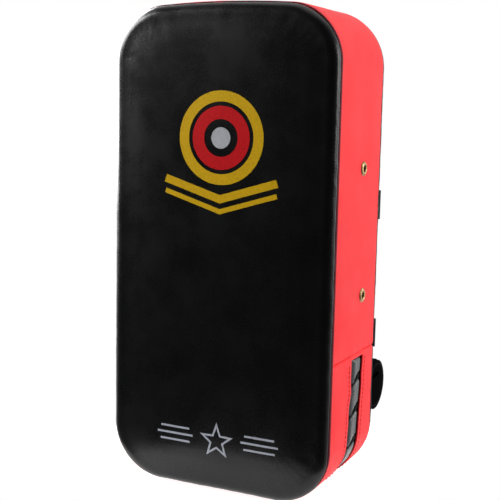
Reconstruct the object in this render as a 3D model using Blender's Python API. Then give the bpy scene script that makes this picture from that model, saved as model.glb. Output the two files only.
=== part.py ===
"""Thai pad: a foam filled forearm pad, laced shut round its lower end, with a grip and two
hook-and-loop forearm straps on its back.

Metres, +Z up. The pad stands on its flat lower end. Its striking face looks towards -Y and its
width lies along X. The origin is on the floor, under the middle of the whole object's box.
A place called "back" is a distance from the pad's middle plane towards +Y.
"""

import math

import bmesh
import bpy
from mathutils import Vector

# Pad body
WIDTH = 0.200
HEIGHT = 0.402
DEPTH = 0.100  # between the two panel seams
TOP_RADIUS = 0.042
BOTTOM_RADIUS = 0.046
TOP_ARCH = 0.006  # how far the top edge rises in its middle
SKIN = 0.0018  # cover thickness
GAP = 0.0003  # clearance between pieces that touch
SHARP_ANGLE = math.radians(40)  # edges that turn further than this are shaded as corners
FRONT_CROWN = 0.006
FRONT_ROLL = 0.010
BACK_CROWN = 0.003
BACK_ROLL = 0.0055
CORNER_STEPS = 8
TOP_STEPS = 6
ROLL_STEPS = 4

# Side gusset, laced slot and foam
SEAM_HEIGHT = 0.116
SLOT_FRONT = -0.003
SLOT_BACK = 0.022
SLOT_LEAN = 0.005  # how far the slot moves towards the striking face on its way down
TONGUE_INSET = 0.0058
TONGUE_THICKNESS = 0.0015
TONGUE_FRONT = -0.012
TONGUE_BACK = 0.0265
TONGUE_OVERLAP = 0.010
STRIKE_FOAM_BACK = -0.025
BACK_FOAM_FRONT = 0.027
LACE_RADIUS = 0.0013
LACE_BEVEL_STEPS = 2
LACE_PITCH = 0.027
LACE_TURNS = 14
LACE_POINTS_PER_TURN = 8
LACE_CROSSING_RISE = 0.012  # how far a crossing runs along the slot
FIRST_CROSSING_BELOW_SEAM = 0.025

# Vent eyelets: (back, height) of each pair
EYELETS = {"upper": (0.008, 0.271), "lower": (0.015, 0.165)}
EYELET_RADIUS = 0.006
EYELET_BORE = 0.0029
EYELET_LIP = 0.0010  # how far its rim stands out from the gusset
EYELET_CROWN = 0.0013  # and how far the middle of the rim does
EYELET_ROUNDING = 0.0004
BARREL_RADIUS = 0.0035
BARREL_DEPTH = 0.0032
WASHER_RADIUS = 0.0062
WASHER_THICKNESS = 0.0006
EYELET_SIDES = 16

# Grip
GRIP_HEIGHT = 0.066
GRIP_RADIUS = 0.024
GRIP_LENGTH = 0.174
GRIP_EDGE = 0.004
GRIP_EDGE_STEPS = 3
GRIP_SIDES = 32
FINGER_GAP = 0.0245
GRIP_WEBBING_WIDTH = 0.025
WEBBING_THICKNESS = 0.002
GRIP_FOOT_X = 0.0915
GRIP_FOOT_LIFT = 0.0075  # above the back panel, so that the grip can rock
GRIP_LEG_START = 0.0005  # how far outside the grip's end the webbing starts to bend
GRIP_LEG_BULGE = 0.002
GRIP_LEG_DROP = 0.012
GRIP_LEG_STEPS = 8
ANCHOR_END_X = 0.0935
ANCHOR_LENGTH = 0.020
ANCHOR_WIDTH = 0.040
ANCHOR_THICKNESS = 0.002
RIVET_RADIUS = 0.0042
RIVET_HEAD = 0.0012
RIVET_SHOULDER = 0.9  # radius half way up the head, as a share of the whole
RIVET_CROWN = 0.5  # and at its top
RIVET_SHANK = 0.0016
RIVET_SPACING = 0.028
RIVET_SIDES = 12

# Forearm straps: height of the middle of each, and the height of its arch above the back panel
STRAPS = {"upper": (0.238, 0.060), "lower": (0.1255, 0.055)}
STRAP_WIDTH = 0.038
STRAP_END_X = -0.096
STRAP_RISE_X = -0.082
STRAP_RISE_RUN = 0.012  # how long the strap stays low as it leaves the back panel
STRAP_CREST_RUN = (0.052, 0.038)  # how far its crest stays level, to the left and to the right
STRAP_FALL_RUN = 0.024  # how long it stays in line with the ring as it comes down
STRAP_RISE_STEPS = 16
STRAP_FALL_STEPS = 18
STRAP_BEND_STEPS = 6
TAB_WIDTH = 0.025
TAB_THICKNESS = 0.0014
TAB_EDGE_X = 0.0995
TAB_BEND_STEPS = 6
TAB_STRAIGHT = 0.001  # from the ring's bar to where the inner layer lies flat
TAB_SHOULDER = (0.003, 0.0006)  # the outer layer's first step down, past the ring's bar
TAB_CLOSED = 0.007  # from the bar to where the two layers meet
RING_WIRE = 0.00175  # radius
RING_LENGTH = 0.015  # between the middles of its long bars
RING_OPENING = 0.040
RING_CORNER = 0.003
RING_CORNER_STEPS = 3
RING_WIRE_SIDES = 8
RING_BAR_X = 0.087
RING_TILT = math.radians(140)
RING_PLAY = 0.002  # between the ring's wire and the strap that bends round it
RUN_IN = 0.005  # straight strap before the bend
BEND_RUN = 0.001  # straight end of the bend, where the tail starts
TAIL_LENGTH = 0.078
PATCH_THICKNESS = 0.0009
LOOP_START = 0.012
LOOP_END = 0.086
LOOP_STEPS = 18
HOOK_START = 0.026
HOOK_STEPS = 14
TAIL_MERGE = 0.022  # how far from the ring the tail comes down on to the strap
TAIL_STEPS = 20

# Places that follow from them
BACK_FACE = DEPTH / 2 + BACK_CROWN
GRIP_BACK = BACK_FACE + FINGER_GAP + GRIP_RADIUS
MIDDLE_Y = (DEPTH / 2 + FRONT_CROWN - GRIP_BACK - GRIP_RADIUS) / 2

BLACK_LEATHER = ("black_leather", (0.012, 0.012, 0.014), 0.42, 0.0)
RED_LEATHER = ("red_leather", (0.80, 0.03, 0.035), 0.45, 0.0)
GLOSS_BLACK = ("gloss_black", (0.03, 0.03, 0.035), 0.2, 0.0)
BLACK_CORD = ("black_cord", (0.01, 0.01, 0.01), 0.8, 0.0)
BLACK_WEBBING = ("black_webbing", (0.015, 0.015, 0.016), 0.85, 0.0)
BLACK_HOOK = ("black_hook_and_loop", (0.02, 0.02, 0.02), 0.95, 0.0)
FOAM = ("grey_foam", (0.25, 0.25, 0.27), 0.9, 0.0)
BRASS = ("antique_brass", (0.35, 0.22, 0.08), 0.35, 1.0)
STEEL = ("nickel_steel", (0.55, 0.55, 0.55), 0.25, 1.0)


def clear_scene():
    for thing in list(bpy.data.objects):
        bpy.data.objects.remove(thing, do_unlink=True)


def material(look):
    name, colour, roughness, metallic = look
    made = bpy.data.materials.get(name)
    if made is None:
        made = bpy.data.materials.new(name)
        made.use_nodes = True
        shader = made.node_tree.nodes["Principled BSDF"]
        shader.inputs["Base Color"].default_value = (*colour, 1.0)
        shader.inputs["Roughness"].default_value = roughness
        shader.inputs["Metallic"].default_value = metallic
    return made


def loft(name, rings, look, wrap=False, origin=(0, 0, 0)):
    """A closed skin over rings of points. The ends are capped, unless the last ring meets the first."""
    size = len(rings[0])
    base = Vector(origin)
    bm = bmesh.new()
    rows = [[bm.verts.new(Vector(point) - base) for point in ring] for ring in rings]
    joins = list(zip(rows, rows[1:] + rows[:1])) if wrap else list(zip(rows, rows[1:]))
    for row, following in joins:
        for i in range(size):
            j = (i + 1) % size
            bm.faces.new((row[i], row[j], following[j], following[i]))
    if not wrap:
        bm.faces.new(rows[0])
        bm.faces.new(rows[-1])
    bmesh.ops.recalc_face_normals(bm, faces=bm.faces)
    mesh = bpy.data.meshes.new(name)
    bm.to_mesh(mesh)
    bm.free()
    mesh.shade_smooth()
    mesh.set_sharp_from_angle(angle=SHARP_ANGLE)
    mesh.materials.append(material(look))
    thing = bpy.data.objects.new(name, mesh)
    bpy.context.scene.collection.objects.link(thing)
    thing.location = base + Vector((0, MIDDLE_Y, 0))
    return thing


def make_cutter(thing):
    thing.hide_render = True
    thing.display_type = "WIRE"


def cut(thing, cutter):
    step = thing.modifiers.new("cut", "BOOLEAN")
    step.operation = "DIFFERENCE"
    step.solver = "EXACT"
    step.object = cutter


def evenly(start, end, steps):
    return [start + (end - start) * i / steps for i in range(steps + 1)]


def arc(centre_x, centre_z, radius, start, steps):
    """A quarter turn of points, anticlockwise from an angle in degrees."""
    angles = [math.radians(angle) for angle in evenly(start, start + 90, steps)]
    return [(centre_x + radius * math.cos(a), centre_z + radius * math.sin(a)) for a in angles]


def raised(point):
    """Lift a point of the top edge by the arch, which dies away at the sides."""
    x, z = point
    return (x, z + TOP_ARCH * (1 - (2 * x / WIDTH) ** 2))


def upper_outline(inset, end=SEAM_HEIGHT):
    """Outline (x, z) from the right seam over the top to the left seam."""
    half = WIDTH / 2 - inset
    centre_x = WIDTH / 2 - TOP_RADIUS
    centre_z = HEIGHT - TOP_ARCH - TOP_RADIUS
    radius = TOP_RADIUS - inset
    top = centre_z + radius
    edge = [(centre_x - 2 * centre_x * i / TOP_STEPS, top) for i in range(1, TOP_STEPS)]
    over = arc(centre_x, centre_z, radius, 0, CORNER_STEPS) + edge
    over += arc(-centre_x, centre_z, radius, 90, CORNER_STEPS)
    return [(half, end)] + [raised(point) for point in over] + [(-half, end)]


def lower_outline(inset, end=SEAM_HEIGHT):
    """Outline (x, z) from the left seam under the bottom to the right seam."""
    half = WIDTH / 2 - inset
    centre_x = WIDTH / 2 - BOTTOM_RADIUS
    radius = BOTTOM_RADIUS - inset
    under = arc(-centre_x, BOTTOM_RADIUS, radius, 180, CORNER_STEPS)
    under += arc(centre_x, BOTTOM_RADIUS, radius, 270, CORNER_STEPS)
    return [(-half, end)] + under + [(half, end)]


def outline(inset):
    return upper_outline(inset) + lower_outline(inset)[1:-1]


def outline_ring(inset, back):
    return [(x, back, z) for x, z in outline(inset)]


def rolled_edge(inset, start, roll, crown):
    """Rings from a panel's rim over its rolled edge to its flat face."""
    return [
        outline_ring(inset + roll * (1 - math.cos(a)), start + crown * math.sin(a))
        for a in evenly(0, math.pi / 2, ROLL_STEPS)
    ]


def panel(name, side, roll, crown):
    """A thin dished cover: side is -1 for the striking face and 1 for the back."""
    rim = side * (DEPTH / 2 + GAP / 2)
    outer = rolled_edge(0, rim, roll, side * (crown - GAP / 2))
    inner = rolled_edge(SKIN, rim, roll - SKIN, side * (crown - SKIN - GAP / 2))
    return loft(name, outer[::-1] + inner, BLACK_LEATHER)


def lean(height):
    """How far the slot is shifted at a height: not at the cross seam, and fully round the bottom."""
    share = (SEAM_HEIGHT - height) / (SEAM_HEIGHT - BOTTOM_RADIUS)
    return -SLOT_LEAN * min(max(share, 0.0), 1.0)


def band(name, path, end, front, back, inset, thickness, look, front_leans=False, back_leans=False):
    """A strip of cover that follows the outline between two depths, either of which may lean."""
    outer = path(inset, end)
    inner = path(inset + thickness, end)
    rings = []
    for (x, z), (inner_x, inner_z) in zip(outer, inner):
        near = front + (lean(z) if front_leans else 0.0)
        far = back + (lean(z) if back_leans else 0.0)
        rings.append([(x, near, z), (x, far, z), (inner_x, far, inner_z), (inner_x, near, inner_z)])
    return loft(name, rings, look)


def build_cover():
    panel("front_panel", -1, FRONT_ROLL, FRONT_CROWN)
    back_panel = panel("back_panel", 1, BACK_ROLL, BACK_CROWN)
    front = -DEPTH / 2 + GAP / 2
    back = DEPTH / 2 - GAP / 2
    above = SEAM_HEIGHT + GAP / 2
    below = SEAM_HEIGHT - GAP / 2
    upper = band("side_gusset_upper", upper_outline, above, front, back, 0, SKIN, RED_LEATHER)
    band("side_gusset_lower_front", lower_outline, below, front, SLOT_FRONT, 0, SKIN, RED_LEATHER,
         back_leans=True)
    band("side_gusset_lower_rear", lower_outline, below, SLOT_BACK, back, 0, SKIN, RED_LEATHER,
         front_leans=True)
    tongue_end = SEAM_HEIGHT + TONGUE_OVERLAP
    band("lacing_tongue", lower_outline, tongue_end, TONGUE_FRONT, TONGUE_BACK, TONGUE_INSET,
         TONGUE_THICKNESS, GLOSS_BLACK)
    return back_panel, upper


def build_foam():
    fit = SKIN + GAP
    front_roll = rolled_edge(fit, -DEPTH / 2, FRONT_ROLL - fit, -(FRONT_CROWN - fit))
    loft("foam_strike_layer", [outline_ring(fit, STRIKE_FOAM_BACK - GAP / 2)] + front_roll, FOAM)
    core_inset = TONGUE_INSET + TONGUE_THICKNESS + GAP
    core = (STRIKE_FOAM_BACK + GAP / 2, BACK_FOAM_FRONT - GAP / 2)
    loft("foam_core", [outline_ring(core_inset, back) for back in core], FOAM)
    back_roll = rolled_edge(fit, DEPTH / 2, BACK_ROLL - fit, BACK_CROWN - fit)
    loft("foam_back_layer", [outline_ring(fit, BACK_FOAM_FRONT + GAP / 2)] + back_roll, FOAM)


def lower_point(distance, inset):
    """Point (x, z) at a distance along the lower outline from the left seam, set in from it."""
    straight = SEAM_HEIGHT - BOTTOM_RADIUS
    quarter = math.pi / 2 * BOTTOM_RADIUS
    flat = WIDTH - 2 * BOTTOM_RADIUS
    radius = BOTTOM_RADIUS - inset
    if distance < straight:
        return (-WIDTH / 2 + inset, SEAM_HEIGHT - distance)
    distance -= straight
    if distance < quarter:
        angle = math.pi + distance / BOTTOM_RADIUS
        return (-flat / 2 + radius * math.cos(angle), BOTTOM_RADIUS + radius * math.sin(angle))
    distance -= quarter
    if distance < flat:
        return (-flat / 2 + distance, inset)
    distance -= flat
    if distance < quarter:
        angle = 3 * math.pi / 2 + distance / BOTTOM_RADIUS
        return (flat / 2 + radius * math.cos(angle), BOTTOM_RADIUS + radius * math.sin(angle))
    return (WIDTH / 2 - inset, BOTTOM_RADIUS + distance - quarter)


def lace_point(turn):
    """Point on the lace: half a turn crosses the slot outside, the other half comes back inside."""
    whole = 2 * (SEAM_HEIGHT - BOTTOM_RADIUS) + math.pi * BOTTOM_RADIUS + WIDTH - 2 * BOTTOM_RADIUS
    first = whole - FIRST_CROSSING_BELOW_SEAM - (LACE_TURNS - 1) * LACE_PITCH
    phase = turn % 1.0
    half_slot = (SLOT_BACK - SLOT_FRONT) / 2 - LACE_RADIUS - GAP
    middle = (SLOT_BACK + SLOT_FRONT) / 2
    back = middle - half_slot * math.cos(2 * math.pi * phase)
    if phase < 0.5:
        rise = LACE_CROSSING_RISE * 2 * (phase - 0.25)
    else:
        rest = LACE_PITCH - LACE_CROSSING_RISE
        rise = LACE_CROSSING_RISE / 2 + rest * 2 * (phase - 0.5)
    deepest = TONGUE_INSET - LACE_RADIUS - GAP
    shallowest = LACE_RADIUS + GAP
    depth = (deepest + shallowest) / 2
    depth -= (deepest - shallowest) / 2 * math.sin(2 * math.pi * phase)
    x, z = lower_point(first + math.floor(turn) * LACE_PITCH + rise, depth)
    return (x, back + lean(z - depth * (z < BOTTOM_RADIUS)) + MIDDLE_Y, z)


def build_lace():
    steps = LACE_TURNS * LACE_POINTS_PER_TURN - LACE_POINTS_PER_TURN // 2
    curve = bpy.data.curves.new("lace", "CURVE")
    curve.dimensions = "3D"
    curve.bevel_depth = LACE_RADIUS
    curve.bevel_resolution = LACE_BEVEL_STEPS
    curve.use_fill_caps = True
    spline = curve.splines.new("POLY")
    spline.points.add(steps)
    for i, point in enumerate(spline.points):
        point.co = (*lace_point(i / LACE_POINTS_PER_TURN), 1.0)
    curve.materials.append(material(BLACK_CORD))
    lace = bpy.data.objects.new("lace", curve)
    bpy.context.scene.collection.objects.link(lace)


def turned(name, side, back, height, profile, look):
    """A profile of (radius, outward) points turned about an axis along X through a side wall."""
    rings = []
    for i in range(EYELET_SIDES):
        angle = 2 * math.pi * i / EYELET_SIDES
        ring = []
        for radius, outward in profile:
            x = side * (WIDTH / 2 + outward)
            ring.append((x, back + radius * math.cos(angle), height + radius * math.sin(angle)))
        rings.append(ring)
    return loft(name, rings, look, wrap=True)


def disc_rings(places, sides, along, centre):
    """Rings of a round solid: places are (distance, radius) along the X or Y axis."""
    rings = []
    for distance, radius in places:
        ring = []
        for i in range(sides):
            angle = 2 * math.pi * i / sides
            across = (radius * math.cos(angle), radius * math.sin(angle))
            if along == "X":
                point = (distance, across[0], across[1])
            else:
                point = (across[0], distance, across[1])
            ring.append(tuple(Vector(centre) + Vector(point)))
        rings.append(ring)
    return rings


def build_eyelets(gusset):
    rim_middle = (EYELET_BORE + EYELET_RADIUS) / 2
    grommet = [
        (EYELET_BORE, EYELET_LIP), (rim_middle, EYELET_CROWN),
        (EYELET_RADIUS - EYELET_ROUNDING, EYELET_LIP), (EYELET_RADIUS, GAP),
        (BARREL_RADIUS, GAP), (BARREL_RADIUS, -BARREL_DEPTH), (EYELET_BORE, -BARREL_DEPTH),
    ]
    washer_top = -SKIN - GAP
    washer_bore = BARREL_RADIUS + GAP
    washer = [
        (washer_bore, washer_top), (WASHER_RADIUS, washer_top),
        (WASHER_RADIUS, washer_top - WASHER_THICKNESS), (washer_bore, washer_top - WASHER_THICKNESS),
    ]
    for level, (back, height) in EYELETS.items():
        hole = disc_rings([(-WIDTH, washer_bore), (WIDTH, washer_bore)], 2 * EYELET_SIDES, "X",
                          (0, back, height))
        cutter = loft("eyelet_hole_" + level, hole, BRASS)
        make_cutter(cutter)
        cut(gusset, cutter)
        for hand, side in (("right", 1), ("left", -1)):
            turned(f"vent_eyelet_{hand}_{level}", side, back, height, grommet, BRASS)
            turned(f"eyelet_washer_{hand}_{level}", side, back, height, washer, BRASS)


def ribbon(name, path, thickness, height, width, look, origin=(0, 0, 0)):
    """A flat strap of upright width along a path of (x, back) points."""
    rings = []
    for i, (x, back) in enumerate(path):
        before = path[max(i - 1, 0)]
        after = path[min(i + 1, len(path) - 1)]
        along = Vector((after[0] - before[0], after[1] - before[1])).normalized()
        out = Vector((-along.y, along.x)) * thickness / 2
        low, high = height - width / 2, height + width / 2
        rings.append([
            (x + out.x, back + out.y, low), (x + out.x, back + out.y, high),
            (x - out.x, back - out.y, high), (x - out.x, back - out.y, low),
        ])
    return loft(name, rings, look, origin=origin)


def bezier(a, b, c, d, steps):
    """Points on a cubic curve, without its first one."""
    points = []
    for i in range(1, steps + 1):
        t = i / steps
        weights = ((1 - t) ** 3, 3 * t * (1 - t) ** 2, 3 * t * t * (1 - t), t ** 3)
        x = sum(w * p[0] for w, p in zip(weights, (a, b, c, d)))
        y = sum(w * p[1] for w, p in zip(weights, (a, b, c, d)))
        points.append((x, y))
    return points


def build_grip(back_panel):
    centre = (0, GRIP_BACK, GRIP_HEIGHT)
    hinge = (0, BACK_FACE + ANCHOR_THICKNESS, GRIP_HEIGHT)
    half = GRIP_LENGTH / 2
    quarter = evenly(0, math.pi / 2, GRIP_EDGE_STEPS)
    ends = [(half - GRIP_EDGE * (1 - math.cos(a)), GRIP_RADIUS - GRIP_EDGE * (1 - math.sin(a)))
            for a in quarter]
    profile = [(-distance, radius) for distance, radius in ends] + ends[::-1]
    sleeve = loft("grip_sleeve", disc_rings(profile, GRIP_SIDES, "X", centre), BLACK_LEATHER,
                  origin=hinge)
    hollow_end = half - SKIN
    hollow_radius = GRIP_RADIUS - SKIN
    hollow_places = [(-hollow_end, hollow_radius), (hollow_end, hollow_radius)]
    hollow = loft("grip_hollow", disc_rings(hollow_places, GRIP_SIDES, "X", centre), FOAM)
    foam_end = hollow_end - GAP
    foam_radius = hollow_radius - GAP
    foam_places = [(-foam_end, foam_radius), (foam_end, foam_radius)]
    foam = loft("grip_foam", disc_rings(foam_places, GRIP_SIDES, "X", centre), FOAM, origin=hinge)
    slot_path = [(-WIDTH, GRIP_BACK), (WIDTH, GRIP_BACK)]
    slot = ribbon("grip_slot", slot_path, WEBBING_THICKNESS + 2 * GAP, GRIP_HEIGHT,
                  GRIP_WEBBING_WIDTH + 2 * GAP, FOAM)
    for cutter in (hollow, slot):
        make_cutter(cutter)
        cut(sleeve, cutter)
    cut(foam, slot)

    foot = (GRIP_FOOT_X, BACK_FACE + GRIP_FOOT_LIFT)
    leave = (half + GRIP_LEG_START, GRIP_BACK)
    knee = GRIP_FOOT_X + GRIP_LEG_BULGE
    leg = [leave] + bezier(leave, (knee, GRIP_BACK), (knee, GRIP_BACK - GRIP_LEG_DROP), foot,
                           GRIP_LEG_STEPS)
    path = [(-x, back) for x, back in leg[::-1]] + leg
    ribbon("grip_webbing", path, WEBBING_THICKNESS, GRIP_HEIGHT, GRIP_WEBBING_WIDTH, BLACK_WEBBING,
           origin=hinge)

    low = BACK_FACE + GAP
    high = low + ANCHOR_THICKNESS
    panel_inside = BACK_FACE - SKIN - GAP / 2
    for hand, side in (("right", 1), ("left", -1)):
        far = side * ANCHOR_END_X
        near = far - side * ANCHOR_LENGTH
        anchor = ribbon("grip_anchor_" + hand, [(near, (low + high) / 2), (far, (low + high) / 2)],
                        ANCHOR_THICKNESS, GRIP_HEIGHT, ANCHOR_WIDTH, BLACK_LEATHER)
        for level, step in (("upper", 1), ("lower", -1)):
            centre = ((near + far) / 2, 0, GRIP_HEIGHT + step * RIVET_SPACING / 2)
            places = [
                (panel_inside, RIVET_SHANK), (high + GAP, RIVET_SHANK), (high + GAP, RIVET_RADIUS),
                (high + GAP + RIVET_HEAD / 2, RIVET_RADIUS * RIVET_SHOULDER),
                (high + GAP + RIVET_HEAD, RIVET_RADIUS * RIVET_CROWN),
            ]
            loft(f"grip_rivet_{hand}_{level}", disc_rings(places, RIVET_SIDES, "Y", centre), STEEL)
            bore = RIVET_SHANK + GAP
            hole_places = [(DEPTH / 4, bore), (DEPTH, bore)]
            hole = loft(f"rivet_hole_{hand}_{level}",
                        disc_rings(hole_places, RIVET_SIDES, "Y", centre), STEEL)
            make_cutter(hole)
            cut(anchor, hole)
            cut(back_panel, hole)


def measured_path(points):
    """Points with their distance along the path."""
    total = 0.0
    marks = [(0.0, points[0])]
    for before, after in zip(points, points[1:]):
        total += math.dist(before, after)
        marks.append((total, after))
    return marks


def beside(marks, distance, offset):
    """Point at a distance along a measured path, set off to its right."""
    for (near, before), (far, after) in zip(marks, marks[1:]):
        if distance <= far:
            break
    share = (distance - near) / (far - near)
    along = Vector((after[0] - before[0], after[1] - before[1])).normalized()
    x = before[0] + share * (after[0] - before[0]) + along.y * offset
    back = before[1] + share * (after[1] - before[1]) - along.x * offset
    return (x, back)


def ring_loop(tab_bar, direction, height):
    """Points of the ring's wire, a rectangle with round corners that stands along Z."""
    half = RING_OPENING / 2 + RING_WIRE
    points = []
    corners = (
        (RING_LENGTH - RING_CORNER, half - RING_CORNER, 0),
        (RING_CORNER, half - RING_CORNER, 90),
        (RING_CORNER, -half + RING_CORNER, 180),
        (RING_LENGTH - RING_CORNER, -half + RING_CORNER, 270),
    )
    for along, up, start in corners:
        for reach, rise in arc(along, up, RING_CORNER, start, RING_CORNER_STEPS):
            x = tab_bar[0] + direction.x * reach
            back = tab_bar[1] + direction.y * reach
            points.append(((x, back, height + rise), (reach, rise)))
    return points


def build_ring(name, tab_bar, direction, height):
    """A wire bent into a rectangle: a small circle carried round the loop."""
    loop = ring_loop(tab_bar, direction, height)
    side = Vector((-direction.y, direction.x, 0))
    rings = []
    for i, (point, _) in enumerate(loop):
        before = loop[i - 1][1]
        after = loop[(i + 1) % len(loop)][1]
        run = Vector((after[0] - before[0], after[1] - before[1])).normalized()
        across = Vector((direction.x * run.y, direction.y * run.y, -run.x))
        ring = []
        for k in range(RING_WIRE_SIDES):
            angle = 2 * math.pi * k / RING_WIRE_SIDES
            offset = (across * math.cos(angle) + side * math.sin(angle)) * RING_WIRE
            ring.append(tuple(Vector(point) + offset))
        rings.append(ring)
    loft(name, rings, STEEL, wrap=True, origin=(*tab_bar, height))


def build_tab(name, tab_bar, height):
    """Webbing folded round the ring's bar, its two ends sewn flat on the back edge."""
    turn = RING_WIRE + GAP + TAB_THICKNESS / 2
    inner = BACK_FACE + GAP + TAB_THICKNESS / 2
    outer_end = inner + TAB_THICKNESS + GAP
    bar_x, bar_back = tab_bar
    along, down = TAB_SHOULDER
    bend = evenly(-math.pi / 2, -math.pi * 3 / 2, TAB_BEND_STEPS)
    path = [(TAB_EDGE_X, inner), (bar_x + TAB_STRAIGHT, inner)]
    path += [(bar_x + turn * math.cos(a), bar_back + turn * math.sin(a)) for a in bend]
    path += [(bar_x + along, bar_back + turn - down), (bar_x + TAB_CLOSED, outer_end)]
    path += [(TAB_EDGE_X, outer_end)]
    ribbon(name, path, TAB_THICKNESS, height, TAB_WIDTH, BLACK_WEBBING)


def build_strap(level, height, arch):
    top = BACK_FACE + arch
    tab_bar = (RING_BAR_X, BACK_FACE + 2 * GAP + TAB_THICKNESS + RING_WIRE)
    direction = Vector((math.cos(RING_TILT), math.sin(RING_TILT)))
    outward = Vector((direction.y, -direction.x))
    strap_bar = Vector(tab_bar) + direction * RING_LENGTH
    turn = RING_WIRE + RING_PLAY + WEBBING_THICKNESS / 2
    build_tab(f"{level}_ring_tab", tab_bar, height)
    build_ring(f"{level}_ring", tab_bar, direction, height)

    lying = BACK_FACE + GAP + WEBBING_THICKNESS / 2
    start = (STRAP_RISE_X, lying)
    enter = strap_bar - outward * turn
    crest_left, crest_right = STRAP_CREST_RUN
    path = [(STRAP_END_X, lying), start]
    path += bezier(start, (STRAP_RISE_X + STRAP_RISE_RUN, lying), (-crest_left, top), (0, top),
                   STRAP_RISE_STEPS)
    coming_down = tuple(enter + direction * STRAP_FALL_RUN)
    run_in = tuple(enter + direction * RUN_IN)
    falling = bezier((0, top), (crest_right, top), coming_down, run_in, STRAP_FALL_STEPS)
    falling.append(tuple(enter))
    path += falling
    facing = math.atan2(-outward.y, -outward.x)
    for angle in evenly(facing, facing + math.pi, STRAP_BEND_STEPS)[1:]:
        path.append((strap_bar.x + turn * math.cos(angle), strap_bar.y + turn * math.sin(angle)))
    path.append(tuple(strap_bar + outward * turn + direction * BEND_RUN))
    ribbon(f"{level}_strap", path, WEBBING_THICKNESS, height, STRAP_WIDTH, BLACK_WEBBING)

    over = measured_path([tuple(enter)] + falling[-2::-1] + [(0, top)])
    patch_step = PATCH_THICKNESS + GAP
    loop_offset = WEBBING_THICKNESS / 2 + GAP + PATCH_THICKNESS / 2
    hook_offset = loop_offset + patch_step
    tail_offset = hook_offset + loop_offset
    loop_path = [beside(over, s, loop_offset) for s in evenly(LOOP_START, LOOP_END, LOOP_STEPS)]
    ribbon(f"{level}_loop_patch", loop_path, PATCH_THICKNESS, height, STRAP_WIDTH, BLACK_HOOK)
    hook_path = [beside(over, s, hook_offset) for s in evenly(HOOK_START, TAIL_LENGTH, HOOK_STEPS)]
    hinge = strap_bar + outward * (turn + WEBBING_THICKNESS / 2) + direction * (BEND_RUN + GAP / 2)
    hinge_point = (hinge.x, hinge.y, height)
    ribbon(f"{level}_hook_patch", hook_path, PATCH_THICKNESS, height, STRAP_WIDTH, BLACK_HOOK,
           origin=hinge_point)
    tail_path = []
    for s in evenly(BEND_RUN + GAP, TAIL_LENGTH, TAIL_STEPS):
        ease = (1 + math.cos(math.pi * min(1.0, s / TAIL_MERGE))) / 2
        offset = tail_offset + (2 * turn - tail_offset) * ease
        tail_path.append(beside(over, s, offset))
    ribbon(f"{level}_strap_tail", tail_path, WEBBING_THICKNESS, height, STRAP_WIDTH, BLACK_WEBBING,
           origin=hinge_point)


def main():
    clear_scene()
    back_panel, upper_gusset = build_cover()
    build_foam()
    build_lace()
    build_eyelets(upper_gusset)
    build_grip(back_panel)
    for level, (height, arch) in STRAPS.items():
        build_strap(level, height, arch)


main()
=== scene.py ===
import math

import bmesh
import bpy
import numpy as np
from mathutils import Matrix, Vector, noise
from mathutils.bvhtree import BVHTree
from mathutils.kdtree import KDTree


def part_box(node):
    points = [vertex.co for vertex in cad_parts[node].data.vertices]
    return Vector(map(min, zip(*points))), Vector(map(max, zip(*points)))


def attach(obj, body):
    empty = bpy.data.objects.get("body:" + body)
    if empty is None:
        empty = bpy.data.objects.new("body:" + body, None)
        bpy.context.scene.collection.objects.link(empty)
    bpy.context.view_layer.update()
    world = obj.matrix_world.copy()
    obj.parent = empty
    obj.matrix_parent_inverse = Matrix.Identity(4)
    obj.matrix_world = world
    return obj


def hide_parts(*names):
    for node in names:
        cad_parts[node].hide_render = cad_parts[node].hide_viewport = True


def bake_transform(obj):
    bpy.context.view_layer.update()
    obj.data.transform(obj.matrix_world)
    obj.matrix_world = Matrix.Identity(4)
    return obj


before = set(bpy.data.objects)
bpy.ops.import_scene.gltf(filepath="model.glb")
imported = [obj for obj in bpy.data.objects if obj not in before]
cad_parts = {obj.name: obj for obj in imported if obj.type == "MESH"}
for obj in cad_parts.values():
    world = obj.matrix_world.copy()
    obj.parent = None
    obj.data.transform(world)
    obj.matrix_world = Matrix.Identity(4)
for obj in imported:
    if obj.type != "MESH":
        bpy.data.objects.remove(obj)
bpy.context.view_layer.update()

MM = 0.001

# ---------------------------------------------------------------- places, read from the frame

GUSSET_LOW, GUSSET_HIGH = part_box("side_gusset_upper")
MIDDLE_Y = (GUSSET_LOW.y + GUSSET_HIGH.y) / 2
HALF_WIDTH = GUSSET_HIGH.x
HEIGHT = GUSSET_HIGH.z
SEAM_Z = GUSSET_LOW.z
HALF_DEPTH = (GUSSET_HIGH.y - GUSSET_LOW.y) / 2 + 0.15 * MM
FRONT_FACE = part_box("front_panel")[0].y
BACK_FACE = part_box("back_panel")[1].y
SLOT_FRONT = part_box("side_gusset_lower_front")[1].y
SLOT_REAR = SLOT_FRONT + 25 * MM                          # at the cross seam, where the slot starts
SLOT_LEAN = SLOT_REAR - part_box("side_gusset_lower_rear")[0].y

TOP_RADIUS = 42 * MM
BOTTOM_RADIUS = 46 * MM
TOP_ARCH = 6 * MM
FRONT_ROLL = 9.5 * MM
BACK_ROLL = 5.5 * MM
FRONT_SLOPE = 0.15   # how much the front roll leans in where it leaves its seam
FRONT_CROWN = MIDDLE_Y - HALF_DEPTH - FRONT_FACE + 1.2 * MM
BACK_CROWN = BACK_FACE - MIDDLE_Y - HALF_DEPTH
CLEAR = 0.3 * MM
FILL = 0.95          # share of each padded piece that its foam fills


def middle(node):
    low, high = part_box(node)
    return (low + high) / 2


def hand_over(thing, slot, body, *nodes, fill=None):
    """Attach a piece to the body it rides on and hide the solids it stands for; slot, which says what it is
    made of, is not used.
    """
    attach(thing, body)
    if nodes:
        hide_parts(*nodes)


def set_inputs(node, **inputs):
    for key, value in inputs.items():
        node.inputs[key.replace("_", " ")].default_value = value


# ---------------------------------------------------------------- camera, light and floor

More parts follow.
